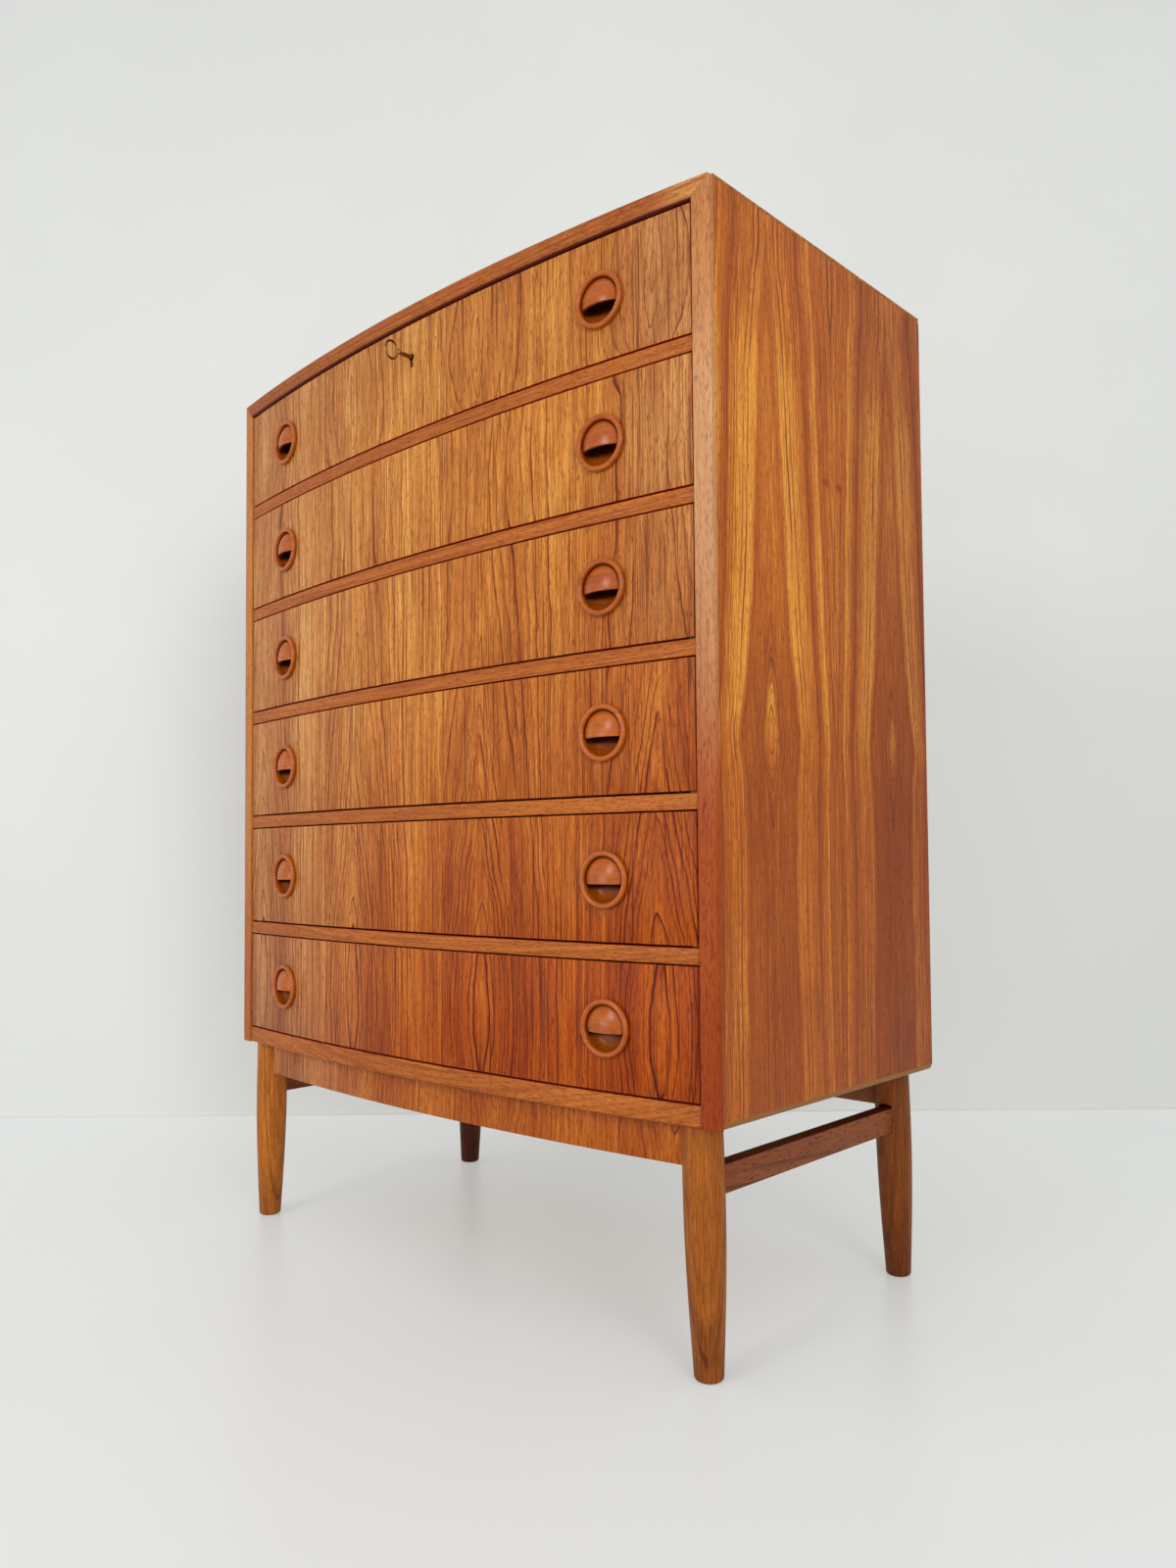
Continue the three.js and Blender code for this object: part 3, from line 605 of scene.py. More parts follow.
def wood_grain():
    """Colour, roughness and height of wood from its growth distance, with the grain along z.

    Random bands of the growth distance give stripes. Growth rings of uneven width darken towards their outer
    line, each by its own strength. Noise drawn out along the grain gives fibres, dark hairs and open pores.
    """
    w, entry, put = new_group(
        "Wood Grain",
        {"Growth": 0.0, "Vector": (0, 0, 0), "Light": (1, 1, 1, 1), "Mid": (1, 1, 1, 1), "Dark": (1, 1, 1, 1),
         "Line": (1, 1, 1, 1), "Stripe": 0.016, "Stripes": 0.6, "Spacing": 0.006, "Lines": 0.6, "Pores": 0.5,
         "Fibres": 0.8, "Polish": 0.0, "Shade": 0.5, "Width": 1.0, "Hairs": 0.0},
        {"Color": 4, "Roughness": 1, "Height": 1},
    )
    vector, growth = entry["Vector"], entry["Growth"]
    broad = w.noise(w.over(growth, entry["Stripe"]), detail=3, rough=0.65, dimensions="1D")
    cloud = w.noise(w.stretch(vector, (18, 18, 5)), detail=2)
    fibre = w.noise(w.stretch(vector, (520, 520, 20)), detail=3, rough=0.7)
    run = w.over(growth, entry["Spacing"])
    run = w.plus(run, w.swing(w.noise(w.times(run, 0.6), detail=1, dimensions="1D"), 1.6))
    within = w.math("FRACT", run)
    number = w.math("FLOOR", run)
    ring = w.add("ShaderNodeTexWhiteNoise", {"W": number}, output="Value", noise_dimensions="1D")
    strength = w.ranged(w.noise(w.stretch(vector, (75, 75, 5)), detail=2), 0.34, 0.6, 0.25, 1.0)
    strength = w.times(w.times(w.ranged(ring, 0.15, 0.95, 0.1, 1.0, smooth=False), strength), entry["Lines"])
    start = w.minus(0.9, w.times(entry["Width"], 0.2))
    line = w.times(w.ranged(within, start, 0.91), w.ranged(within, 0.94, 1.0, 1.0, 0.0))
    line = w.times(line, strength)
    late = w.times(w.times(w.times(within, within), strength), 0.3)
    tone = w.plus(w.swing(broad, entry["Stripes"]), w.swing(cloud, 0.5))
    tone = w.plus(w.plus(tone, w.swing(fibre, entry["Fibres"])), entry["Shade"])
    tone = w.minus(tone, late)
    low = w.mix(w.ranged(tone, 0.05, 0.5, smooth=False), entry["Dark"], entry["Mid"])
    ground = w.mix(w.ranged(tone, 0.5, 0.95, smooth=False), low, entry["Light"])
    pore_noise = w.noise(w.stretch(vector, (1000, 1000, 110)), detail=1)
    pore = w.times(w.ranged(pore_noise, 0.52, 0.70), entry["Pores"])
    hair = w.noise(w.stretch(vector, (640, 640, 7)), detail=1)
    hair = w.times(w.ranged(hair, 0.55, 0.71), entry["Hairs"])
    shaded = w.mix(w.math("MAXIMUM", w.math("MAXIMUM", line, pore), hair, clamp=True), ground, entry["Line"])
    rough = w.plus(0.36, w.plus(w.times(fibre, 0.12), w.times(pore, 0.25)))
    rough = w.minus(rough, entry["Polish"])
    height = w.minus(w.times(fibre, 0.35), w.plus(w.times(pore, 0.8), w.times(line, 0.3)))
    return put(Color=shaded, Roughness=rough, Height=height)


GROUPS = {"leaf": leaf_field, "pith": pith_field, "grain": wood_grain}


def shared(name):
    """A shader node group, made on first use."""
    if callable(GROUPS[name]):
        GROUPS[name] = GROUPS[name]()
    return GROUPS[name]


def new_material(name, specular, metallic=0.0):
    """Material with its own Principled shader, and the wiring and object coordinates that feed it."""
    material = bpy.data.materials.new(name)
    material.use_nodes = True
    shader = material.node_tree.nodes["Principled BSDF"]
    shader.inputs["Specular IOR Level"].default_value = specular
    shader.inputs["Metallic"].default_value = metallic
    w = Wiring(material.node_tree)
    return material, shader, w, w.add("ShaderNodeTexCoord", output="Object")


def close_material(w, shader, outputs, bump):
    """Joins colour, roughness and a bump from the height to the shader."""
    w.feed(shader.inputs["Base Color"], outputs["Color"])
    w.feed(shader.inputs["Roughness"], outputs["Roughness"])
    normal = w.add("ShaderNodeBump", {"Height": outputs["Height"], "Strength": 0.6, "Distance": bump})
    w.feed(shader.inputs["Normal"], normal)


def grain_along(w, place, axis):
    """Turns the place so that the grain, which runs along x, y or z, runs along z."""
    x, y, z = w.split(place)
    order = {"x": (y, z, x), "y": (z, x, y), "z": (x, y, z)}[axis]
    return w.vector(*order)


def behind_bow(w, place, setback):
    """Depth of a place behind the bowed face."""
    radius = bow_radius()
    x, y, _ = w.split(place)
    reach = w.math("SQRT", w.minus((radius - setback) ** 2, w.times(x, x)))
    return w.plus(y, w.minus(reach, FRONT + radius))


EDGE_START = (0.4 * MM, 1.2 * MM)  # depths over which the gap shade comes
EDGE_END = (3.5 * MM, 5 * MM)  # depths over which it goes
HOLE_DROP = 4 * MM  # how far the keyhole's middle lies below the key's axis
HOLE_SHADE = (0.02, 0.015, 0.012)


def shadowed(w, outputs, place, setback):
    """Darkens the edges that face a gap, in a band just behind the face, and the keyhole's walls."""
    s = sizes()
    depth = behind_bow(w, place, setback)
    share = w.times(w.ranged(depth, *EDGE_START), w.ranged(depth, *EDGE_END, 1.0, 0.0))
    outputs = tinted(w, outputs, w.mix(share, WHITE, colours().gap_shade))
    x, _, z = w.split(place)
    away = w.math("ABSOLUTE", w.minus(z, key_height() - HOLE_DROP))
    near = w.times(
        w.ranged(w.math("ABSOLUTE", x), s.keyhole_radius + 0.5 * MM, s.keyhole_radius + 1 * MM, 1.0, 0.0),
        w.ranged(away, s.keyhole_drop, s.keyhole_drop + 1 * MM, 1.0, 0.0),
    )
    hole = w.times(near, w.ranged(depth, 0.05 * MM, 0.3 * MM))
    return tinted(w, outputs, w.mix(hole, WHITE, HOLE_SHADE))


def darker(base, share):
    """A colour times a share."""
    return tuple(np.array(base) * share)


def bump_at(w, value, middle, reach, strength):
    """Smooth hump of a value about a middle, which ends at the reach to both sides."""
    away = w.math("ABSOLUTE", w.minus(value, middle))
    return w.ranged(away, 0.0, reach, strength, 0.0)


def tinted(w, grain, tint):
    """The grain's outputs with its colour multiplied by a tint."""
    shade = w.multiplied(grain["Color"], tint)
    return {"Color": shade, "Roughness": grain["Roughness"], "Height": grain["Height"]}


def front_veneer(name, redness=1.0, figure=1.0, setback=None):
    """Teak of the drawer fronts and the apron: repeated leaves, more golden at the top and redder below."""
    c = colours()
    material, shader, w, place = new_material(name, specular=0.12)
    field = w.add_group(shared("leaf"), {"Vector": place, "Leaf": sizes().leaf, "Start": -HALF_WIDTH})
    x, _, z = w.split(place)
    across = field["Across"]
    shade = w.plus(bump_at(w, across, 0.172, 0.05, 0.12), bump_at(w, across, 0.11, 0.03, -0.10))
    shade = w.plus(shade, bump_at(w, across, 0.010, 0.03, -0.07))
    shade = w.plus(shade, w.plus(bump_at(w, field["Off"], 0.0, 0.03, 0.08), 0.5))
    lower = w.ranged(w.minus(z, w.times(x, 0.35)), 0.25, 0.8, 1.0, 0.0, smooth=False)
    tint = w.mix(w.times(lower, redness), c.upper_tint, c.lower_tint)
    tint = w.mix(w.ranged(x, -0.05, 0.26), tint, w.multiplied(tint, c.right_tint))
    # Painted sheen: the right end of the upper drawers is made paler and pinker, as a reflection would
    right_sheen = w.times(w.ranged(x, 0.27, 0.34), w.ranged(z, 0.6, 0.72))
    tint = w.mix(right_sheen, tint, w.multiplied(tint, (0.93, 1.05, 1.8)))
    # Painted shade under the top lipping: the top of the upper drawer is darker
    tint = w.mix(w.ranged(z, 0.95, 0.99), tint, w.multiplied(tint, (0.94, 0.945, 1.06)))
    # Painted sheen on the left part of the fronts: paler and bluer, strongest at the far left
    left = w.mix(w.ranged(z, 0.28, 0.46), c.lower_left_sheen, c.left_sheen)
    left = w.multiplied(left, (0.98, 1.02, 1.3))
    tint = w.mix(w.ranged(x, -0.36, 0.0, 0.8, 0.0), tint, left)
    grain = w.add_group(shared("grain"), {
        "Growth": field["Growth"], "Vector": place,
        "Light": c.teak_light, "Mid": c.teak_mid, "Dark": c.teak_dark, "Line": c.teak_line,
        "Stripe": 0.012, "Stripes": w.ranged(z, 0.3, 0.8, figure, 0.7),
        "Spacing": 0.0054, "Lines": w.ranged(z, 0.4, 0.8, 1.8 * figure, 1.15),
        "Pores": 0.6, "Fibres": 1.35, "Hairs": 0.8 * figure,
        "Shade": shade, "Width": w.plus(w.times(field["Slope"], 0.9), 0.1),
    })
    outputs = tinted(w, grain, tint)
    if setback is not None:
        outputs = shadowed(w, outputs, place, setback)
    close_material(w, shader, outputs, 0.15 * MM)
    return material


# Attribute and colour of the painted shade in the pulls' bowls and grooves
HOLLOW, HOLLOW_SHADE = "shaded_hollow", (0.03, 0.012, 0.01)
FLAME_SPREAD = 0.055
SEAM_DEPTH, FLAME_FROM_SEAM = 0.0366, 0.117
EYE_HEIGHT, EYE_HALF_HEIGHT, EYE_HALF_WIDTH = 0.600, 0.050, 0.011
KNOT_HEIGHT, KNOT_HALF_HEIGHT = 0.8587, 0.0032
KNOT_FROM_SEAM, KNOT_HALF_WIDTH = 0.0135, 0.0045


def hill(w, across, half_width, up, half_height):
    """Smooth round hill of height 1, over two distances from its middle."""
    a, b = w.over(across, half_width), w.over(up, half_height)
    return w.math("EXPONENT", w.times(w.plus(w.times(a, a), w.times(b, b)), -1.0))


def side_veneer(name):
    """Flame figured teak of the sides, mirrored about the middle of the panel.

    The growth distance is the distance from the flame's middle less a spread that grows downwards to a kink,
    and that weakens away from the flame. A small dip in the kink closes the lines to an eye.
    """
    c, s = colours(), sizes()
    material, shader, w, place = new_material(name, specular=0.12)
    _, y, z = w.split(place)
    wander = w.swing(w.noise(w.times(z, 6.0), detail=2, dimensions="1D"), 0.008)
    mirrored = w.math("ABSOLUTE", w.minus(y, SEAM_DEPTH))
    off = w.math("ABSOLUTE", w.plus(w.minus(mirrored, FLAME_FROM_SEAM), wander))
    height = w.ranged(z, 0.231, 1.102, smooth=False)
    spread = w.curve(height, [
        (0.0, 0.87), (0.10, 0.85), (0.235, 0.78), (0.35, 0.84), (0.395, 0.97), (0.41, 1.0), (0.43, 0.93),
        (0.465, 0.80), (0.54, 0.62), (0.694, 0.42), (0.847, 0.26), (0.92, 0.12), (0.955, 0.02), (1.0, 0.0),
    ])
    weaker = w.ranged(off, 0.03, 0.12, FLAME_SPREAD, FLAME_SPREAD * 0.5)
    ripple = w.swing(w.noise(w.stretch(place, (0, 40, 11)), detail=2), 0.0045)
    eye = hill(w, off, EYE_HALF_WIDTH, w.minus(z, EYE_HEIGHT), EYE_HALF_HEIGHT)
    eye = w.times(eye, w.ranged(y, 0.0, 0.08, 0.030, 0.016))
    soft = w.math("SQRT", w.plus(w.times(off, off), 0.002 ** 2))
    growth = w.minus(w.plus(w.minus(soft, w.times(spread, weaker)), ripple), eye)
    tone = w.ramp(w.ranged(growth, -0.07, 0.11, smooth=False), [
        (0.0, 1.0), (0.06, 0.95), (0.085, 0.45), (0.12, 0.55), (0.15, 0.38), (0.24, 0.45), (0.32, 0.40),
        (0.38, 0.36), (0.395, 0.80), (0.47, 0.84), (0.57, 0.74), (0.63, 0.5), (0.66, 0.24), (0.69, 0.28),
        (0.73, 0.42), (0.76, 0.68), (0.80, 0.74), (0.84, 0.5), (0.88, 0.38), (0.92, 0.5), (1.0, 0.56),
    ])
    inside = w.ranged(growth, -0.004, 0.0, 1.0, 0.0)
    contrast = w.plus(w.times(w.ranged(z, 0.56, 0.62), w.ranged(z, 0.93, 1.0, 0.45, 0.05)), 0.5)
    level = w.plus(w.ranged(z, 0.5, 0.7, 0.34, 0.54), w.ranged(z, 0.93, 1.0, 0.0, -0.10))
    level = w.minus(level, w.times(inside, w.ranged(z, 0.64, 0.84, 0.12, -0.10)))
    shade = w.plus(w.swing(tone, contrast), level)
    across = w.minus(mirrored, KNOT_FROM_SEAM)
    knot = hill(w, across, KNOT_HALF_WIDTH, w.minus(z, KNOT_HEIGHT), KNOT_HALF_HEIGHT)
    grain = w.add_group(shared("grain"), {
        "Growth": w.plus(growth, 0.0025), "Vector": place,
        "Light": c.side_gold, "Mid": c.side_brown, "Dark": c.side_dark, "Line": c.teak_line,
        "Stripe": 0.010, "Stripes": 0.8, "Spacing": 0.0058, "Lines": 1.0, "Width": 1.9,
        "Pores": 0.6, "Fibres": 1.5, "Hairs": 0.45, "Shade": w.minus(shade, w.times(knot, 1.3)),
    })
    # Painted shade towards the rear of the sides
    tint = w.mix(w.ranged(y, -0.02, 0.2), WHITE, c.rear_shade)
    tint = w.mix(w.ranged(z, SIDE_HIGH[2] - 3.2 * MM, SIDE_HIGH[2] - 2.2 * MM), tint, c.edge_tint)
    outputs = tinted(w, grain, tint)
    bevel_top = SIDE_LOW[2] + s.side_bevel
    bevel = w.ranged(z, bevel_top - 0.3 * MM, bevel_top, 1.0, 0.0)
    outputs["Color"] = w.mix(bevel, outputs["Color"], c.bevel_wood)
    close_material(w, shader, outputs, 0.15 * MM)
    return material


def solid_wood(
    name, axis, light, dark, line, pith=(0.09, 0.07, 0), lean=(0, 0, 0), specular=0.15, shaded_hollow=False,
    tint=None, **grain_values,
):
    """Solid wood with its grain along an axis, cut at some distance from the pith.

    Where it has a shaded hollow, the piece's own attribute of that name paints shade into it and dims its
    reflection.
    The tint is a function of the wiring and the place that gives a colour.
    """
    material, shader, w, place = new_material(name, specular=specular)
    along = grain_along(w, place, axis)
    growth = w.add_group(shared("pith"), {"Vector": along, "Pith": pith, "Lean": lean})["Growth"]
    mid = tuple((np.array(light) + np.array(dark)) / 2)
    values = {"Stripe": 0.012, "Spacing": 0.006, "Lines": 0.35, "Pores": 0.5, "Shade": 0.5, **grain_values}
    grain = w.add_group(shared("grain"), {
        "Growth": growth, "Vector": along, "Light": light, "Mid": mid, "Dark": dark, "Line": line, **values,
    })
    if tint:
        grain = tinted(w, grain, tint(w, place))
    # Painted shade in the hollow under the lid, where its reflection is also taken away
    if shaded_hollow:
        inner = w.add("ShaderNodeAttribute", output="Fac", attribute_name=HOLLOW)
        grain = tinted(w, grain, w.mix(inner, WHITE, HOLLOW_SHADE))
        w.feed(shader.inputs["Specular IOR Level"], w.times(specular, w.minus(1.0, w.math("SQRT", inner))))
    close_material(w, shader, grain, 0.2 * MM)
    return material


def leg_tint(w, place):
    """Darker at the foot, and painted shade towards the rear, most of all at the rear left in the chest's
    shadow.
    """
    x, y, z = w.split(place)
    behind = w.times(w.ranged(y, 0.0, 0.2), w.ranged(x, -0.1, 0.2, 1.0, 0.5))
    front = w.mix(w.ranged(x, -0.1, 0.2), (1.4, 1.5, 1.35), (1.0, 0.97, 0.8))
    tint = w.mix(behind, front, (0.3, 0.17, 0.15))
    return w.mix(w.ranged(z, 0.0, 0.1), w.multiplied(tint, (0.72, 0.66, 0.75)), tint)


def bar_shade(w, place):
    """Painted shade on the upper face of the stretchers, which lies in the shadow under the chest."""
    top = box("stretcher_right")[1][2]
    z = w.split(place)[2]
    return w.mix(w.ranged(z, top - 1.6 * MM, top - 0.4 * MM), (1.2, 1.0, 0.8), (0.3, 0.13, 0.12))


def upright_tint(w, place):
    """Upright lippings: paler on the left, and on the right a painted sheen above and red below."""
    x, _, z = w.split(place)
    low = w.mix(w.ranged(z, 0.25, 0.45), (0.64, 0.31, 0.03), (0.78, 0.46, 0.18))
    # Painted sheen: the upper part of the right lipping is made pale and pink
    high = w.mix(w.ranged(z, 0.85, 1.06), (1.25, 2.15, 5.6), (1.13, 1.56, 2.9))
    left = w.mix(w.ranged(z, 0.25, 0.6), (0.86, 0.82, 0.77), (1.15, 1.45, 1.7))
    return w.mix(w.ranged(x, -0.1, 0.1), left, w.mix(w.ranged(z, 0.48, 0.78), low, high))


def level_tint(w, place):
    """Rails and level lippings: a darker top lipping with a painted sheen at its right end.

    Painted shade lies along the top lipping's lower edge, and what lies inside the gaps round the fronts gets
    the painted gap shade too.
    """
    x, _, z = w.split(place)
    edge = TOP_LOW[2]
    setback = max(setback_of("rail_1"), setback_of("bottom_lipping"))
    inside = w.ranged(behind_bow(w, place, setback), *EDGE_START)
    # Painted sheen at the right end of the top lipping
    top = w.mix(w.ranged(x, 0.33, 0.385), (0.82, 0.75, 0.65), (1.22, 1.75, 2.7))
    # Painted shade along the lower edge of the top lipping
    top = w.mix(w.ranged(z, edge + 1.6 * MM, edge + 3.2 * MM), (0.2, 0.06, 0.05), top)
    tint = w.mix(w.ranged(z, edge - 4 * MM, edge - 3 * MM), (0.94, 0.88, 0.66), top)
    return w.mix(inside, tint, w.multiplied(tint, colours().gap_shade))


def worn_metal(name, base, roughness):
    """Metal with brushed streaks and darker tarnish in patches."""
    material, shader, w, place = new_material(name, specular=0.5, metallic=1.0)
    patch = w.noise(w.stretch(place, (90, 90, 90)), detail=3)
    brushed = w.noise(w.stretch(place, (2500, 120, 2500)), detail=2)
    dark = darker(base, 0.35)
    tint = w.mix(w.ranged(w.plus(patch, w.times(brushed, 0.2)), 0.4, 0.75), dark, base)
    rough = w.plus(roughness, w.swing(brushed, 0.25))
    close_material(w, shader, {"Color": tint, "Roughness": rough, "Height": brushed}, 0.03 * MM)
    return material


def painted(name, base, roughness, specular):
    """Painted studio surface with faint clouds and a fine grain."""
    material, shader, w, place = new_material(name, specular=specular)
    cloud = w.noise(place, scale=1.3, detail=3)
    fine = w.noise(place, scale=60.0, detail=2)
    dark = darker(base, 0.965)
    tint = w.mix(w.ranged(cloud, 0.35, 0.65), dark, base)
    rough = w.plus(roughness, w.times(fine, 0.06))
    close_material(w, shader, {"Color": tint, "Roughness": rough, "Height": fine}, 0.02 * MM)
    return material, w, shader


def make_materials():
    """Every finish of the chest, by its own name."""
    c = colours()
    veneer = dict(light=c.teak_light, dark=c.teak_dark, line=c.teak_line)
    teak = dict(light=c.lip_light, dark=c.lip_dark, line=c.teak_line, Stripe=0.005, Spacing=0.004, Pores=0.6)
    turned_teak = dict(light=c.pull_light, dark=c.pull_dark, line=c.teak_line)
    oak = dict(light=c.oak_light, dark=c.oak_dark, line=c.oak_pore)
    bar = dict(light=c.bar_wood, dark=darker(c.bar_wood, 0.55), line=c.oak_pore)
    beech = dict(light=c.drawer_wood, dark=darker(c.drawer_wood, 0.7), line=c.oak_dark, Lines=0.3)
    plywood = dict(light=c.plywood, dark=darker(c.plywood, 0.7), line=c.oak_dark, Lines=0.4)
    woods = {
        "panel_veneer": dict(
            veneer, axis="x", pith=(-0.03, 1.03, 0), lean=(0.03, 0.02, 0), Lines=1.0, Stripes=0.7,
            Fibres=1.35, Pores=0.6, Hairs=0.5,
        ),
        "solid_teak_level": dict(teak, axis="x", tint=level_tint, Lines=0.6, Stripes=0.9, Fibres=1.5),
        "solid_teak_upright": dict(teak, axis="z", tint=upright_tint, Lines=0.25, Stripes=0.6, Fibres=0.9),
        "pull_wood": dict(
            turned_teak, axis="x", specular=0.32, shaded_hollow=True, pith=(-0.21, 0.3, 0), Lines=0.3, Stripe=0.007,
            Stripes=0.6, Fibres=0.8, Pores=0.2, Polish=0.16,
        ),
        "leg_wood": dict(
            oak, axis="z", tint=leg_tint, pith=(0.28, -0.02, 0), lean=(0.04, -0.06, 0), Lines=0.7, Pores=0.45,
            Spacing=0.0028, Stripe=0.010, Stripes=1.0, Fibres=1.8,
        ),
        "stretcher_wood": dict(bar, axis="y", tint=bar_shade, Pores=0.8, Lines=0.8, Spacing=0.004, Fibres=1.8),
        "rear_rail_wood": dict(bar, axis="x", Pores=0.6),
        "drawer_wood": dict(beech, axis="y"),
        "drawer_wood_level": dict(beech, axis="x"),
        "runner_wood": dict(beech, axis="y", dark=darker(c.drawer_wood, 0.6)),
        "back_plywood": dict(plywood, axis="z", Stripe=0.03),
        "bottom_plywood": dict(plywood, axis="x", pith=(0.1, 0.7, 0), lean=(0.02, 0.03, 0), Stripe=0.02),
    }
    return {
        "drawer_veneer": front_veneer("drawer_veneer", setback=setback_of("drawer_1_front")),
        "apron_veneer": front_veneer("apron_veneer", redness=0.7, figure=0.5),
        "side_veneer": side_veneer("side_veneer"),
        **{name: solid_wood(name, **values) for name, values in woods.items()},
        "brass": worn_metal("brass", tuple(c.brass), 0.34),
        "lock_steel": worn_metal("lock_steel", tuple(c.steel), 0.42),
    }


materials = {}


def dress(node, finish):
    """Gives a CAD node that stays its procedural finish."""
    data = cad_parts[node].data
    data.materials.clear()
    data.materials.append(materials[finish])


# Pieces

class CHEST_OT_stage(bpy.types.Operator):
    """Makes the camera at the photograph's angle, the soft lights, the floor and the wall"""

    bl_idname = "chest.stage"
    bl_label = "Stage"

    def execute(self, context):
        make_camera(context.scene)
        make_lights(context.scene)
        make_room()
        return {"FINISHED"}


CAMERA_PLACE = Vector((1.01753, -0.99998, 0.47577))
CAMERA_YAW, CAMERA_PITCH, CAMERA_ROLL = (math.radians(angle) for angle in (42.980, 2.203, -0.430))
IMAGE_HEIGHT = 1600
FOCAL_PIXELS = 1173.45
AXIS_RIGHT, AXIS_BELOW = 1.26, 29.04


def camera_axes():
    """Right, up and forward of the camera: forward turns by the yaw and the pitch, then all roll about it."""
    a, p = CAMERA_YAW, CAMERA_PITCH
    ahead = Vector((-math.sin(a) * math.cos(p), math.cos(a) * math.cos(p), math.sin(p)))
    level = Vector((math.cos(a), math.sin(a), 0))
    upward = level.cross(ahead)
    c, s = math.cos(CAMERA_ROLL), math.sin(CAMERA_ROLL)
    return c * level + s * upward, c * upward - s * level, ahead


def make_camera(scene):
    data = bpy.data.cameras.new("camera")
    data.sensor_fit = "VERTICAL"
    data.sensor_height = 36
    data.lens = FOCAL_PIXELS * data.sensor_height / IMAGE_HEIGHT
    data.shift_x = -AXIS_RIGHT / IMAGE_HEIGHT
    data.shift_y = AXIS_BELOW / IMAGE_HEIGHT
    data.clip_start = 0.01
    camera = linked("camera", data)
    right, up, ahead = camera_axes()
    turn = Matrix((right, up, -ahead)).transposed()
    camera.matrix_world = Matrix.Translation(CAMERA_PLACE) @ turn.to_4x4()
    scene.camera = camera


LIGHTS = {  # place, what it is aimed at, width, height, power in watts, spread in degrees
    "window": ((0.1, -2.9, 1.7), (0.1, 0, 0.6), 0.7, 0.9, 8, 110),
    "left_window": ((-2.6, -0.85, 0.95), (0.0, -0.2, 0.6), 1.2, 1.6, 7, 90),
    "lower_pane": ((-0.9, -3.0, 0.5), (0.1, 0, 0.0), 1.2, 0.8, 5.5, 120),
    "side_window": ((3.0, -1.5, 1.3), (0.3, 0, 0.5), 1.1, 1.5, 17, 120),
    "ceiling": ((0.9, -1.4, 3.2), (0.7, -0.7, 0), 3.0, 3.0, 4, 120),
}
ROOM_LIGHT, ROOM_STRENGTH = (0.96, 0.96, 0.955, 1), 0.84


def area_light(name, place, target, width, height, power, spread):
    data = bpy.data.lights.new(name, "AREA")
    data.shape = "RECTANGLE"
    data.size, data.size_y = width, height
    data.energy = power
    data.spread = math.radians(spread)
    light = linked(name, data)
    aim = Vector(target) - Vector(place)
    light.matrix_world = Matrix.Translation(place) @ aim.to_track_quat("-Z", "Y").to_matrix().to_4x4()


def make_lights(scene):
    """Window panes in front and at both sides, a wide ceiling, and a soft room all round."""
    scene.view_settings.view_transform = "Standard"
    for name, values in LIGHTS.items():
        area_light(name, *values)
    world = bpy.data.worlds.new("room")
    world.use_nodes = True
    background = world.node_tree.nodes["Background"]
    background.inputs["Color"].default_value = ROOM_LIGHT
    background.inputs["Strength"].default_value = ROOM_STRENGTH
    scene.world = world


WALL_DEPTH, WALL_HEIGHT, WALL_HALF = 2.16, 4.0, 5
COVE = 0.008
FLOOR_HALF = 7.0
FLOOR_GLOW = 0.66


def make_room():
    """Floor and wall: a level line, a quarter round cove and an upright line carried along the wall.

    The wall lets what is behind it through, so that it hides nothing in views from the rear.
    """
    c = colours()
    floor, _, shader = painted("floor_paint", tuple(c.floor), 0.3, 0.35)
    # Painted fill light: the floor glows a little, which lifts the shade under the chest
    shader.inputs["Emission Color"].default_value = (*c.floor, 1)
    shader.inputs["Emission Strength"].default_value = FLOOR_GLOW
    wall, w, shader = painted("wall_paint", tuple(c.wall), 0.6, 0.2)
    clear = w.add("ShaderNodeBsdfTransparent")
    behind = w.add("ShaderNodeNewGeometry", output="Backfacing")
    both = w.add("ShaderNodeMixShader", {0: behind, 1: shader.outputs[0], 2: clear})
    w.feed(wall.node_tree.nodes["Material Output"].inputs["Surface"], both)

    _, _, ahead = camera_axes()
    level = np.array([ahead.x, ahead.y]) / math.hypot(ahead.x, ahead.y)
    side = np.array([level[1], -level[0]])
    angle = np.linspace(0, np.pi / 2, 9)
    reach = np.concatenate([WALL_DEPTH - COVE + COVE * np.sin(angle), [WALL_DEPTH]])
    up = np.concatenate([COVE - COVE * np.cos(angle), [WALL_HEIGHT]])
    across = np.linspace(-WALL_HALF, WALL_HALF, 11)
    foot = np.array([CAMERA_PLACE.x, CAMERA_PLACE.y])
    plan = foot + reach[:, None, None] * level + across[None, :, None] * side
    grid = np.concatenate([plan, np.broadcast_to(up[:, None, None], plan.shape[:2] + (1,))], -1)
    grid[..., 2] += SPARE
    back = Shell().add(grid[:, ::-1])
    stage_piece(back, "wall", wall, flip_to=(0.0, 0.0, 0.6))
    corner = np.linspace(-FLOOR_HALF, FLOOR_HALF, 15)
    plane = np.stack(np.meshgrid(corner, corner, [0.0], indexing="ij"), -1)[:, :, 0]
    stage_piece(Shell().add(plane), "floor", floor, flip_to=(0, 0, 1))


def stage_piece(shell, name, material, flip_to):
    """Open surface of the stage, with its faces turned towards a point."""
    mesh = bpy.data.meshes.new(name)
    mesh.from_pydata(np.concatenate(shell.points).tolist(), [], np.concatenate(shell.faces).tolist())
    face = mesh.polygons[len(mesh.polygons) // 2]
    if (Vector(flip_to) - face.center).dot(face.normal) < 0:
        mesh.flip_normals()
    mesh.shade_smooth()
    mesh.materials.append(material)
    linked(name, mesh)


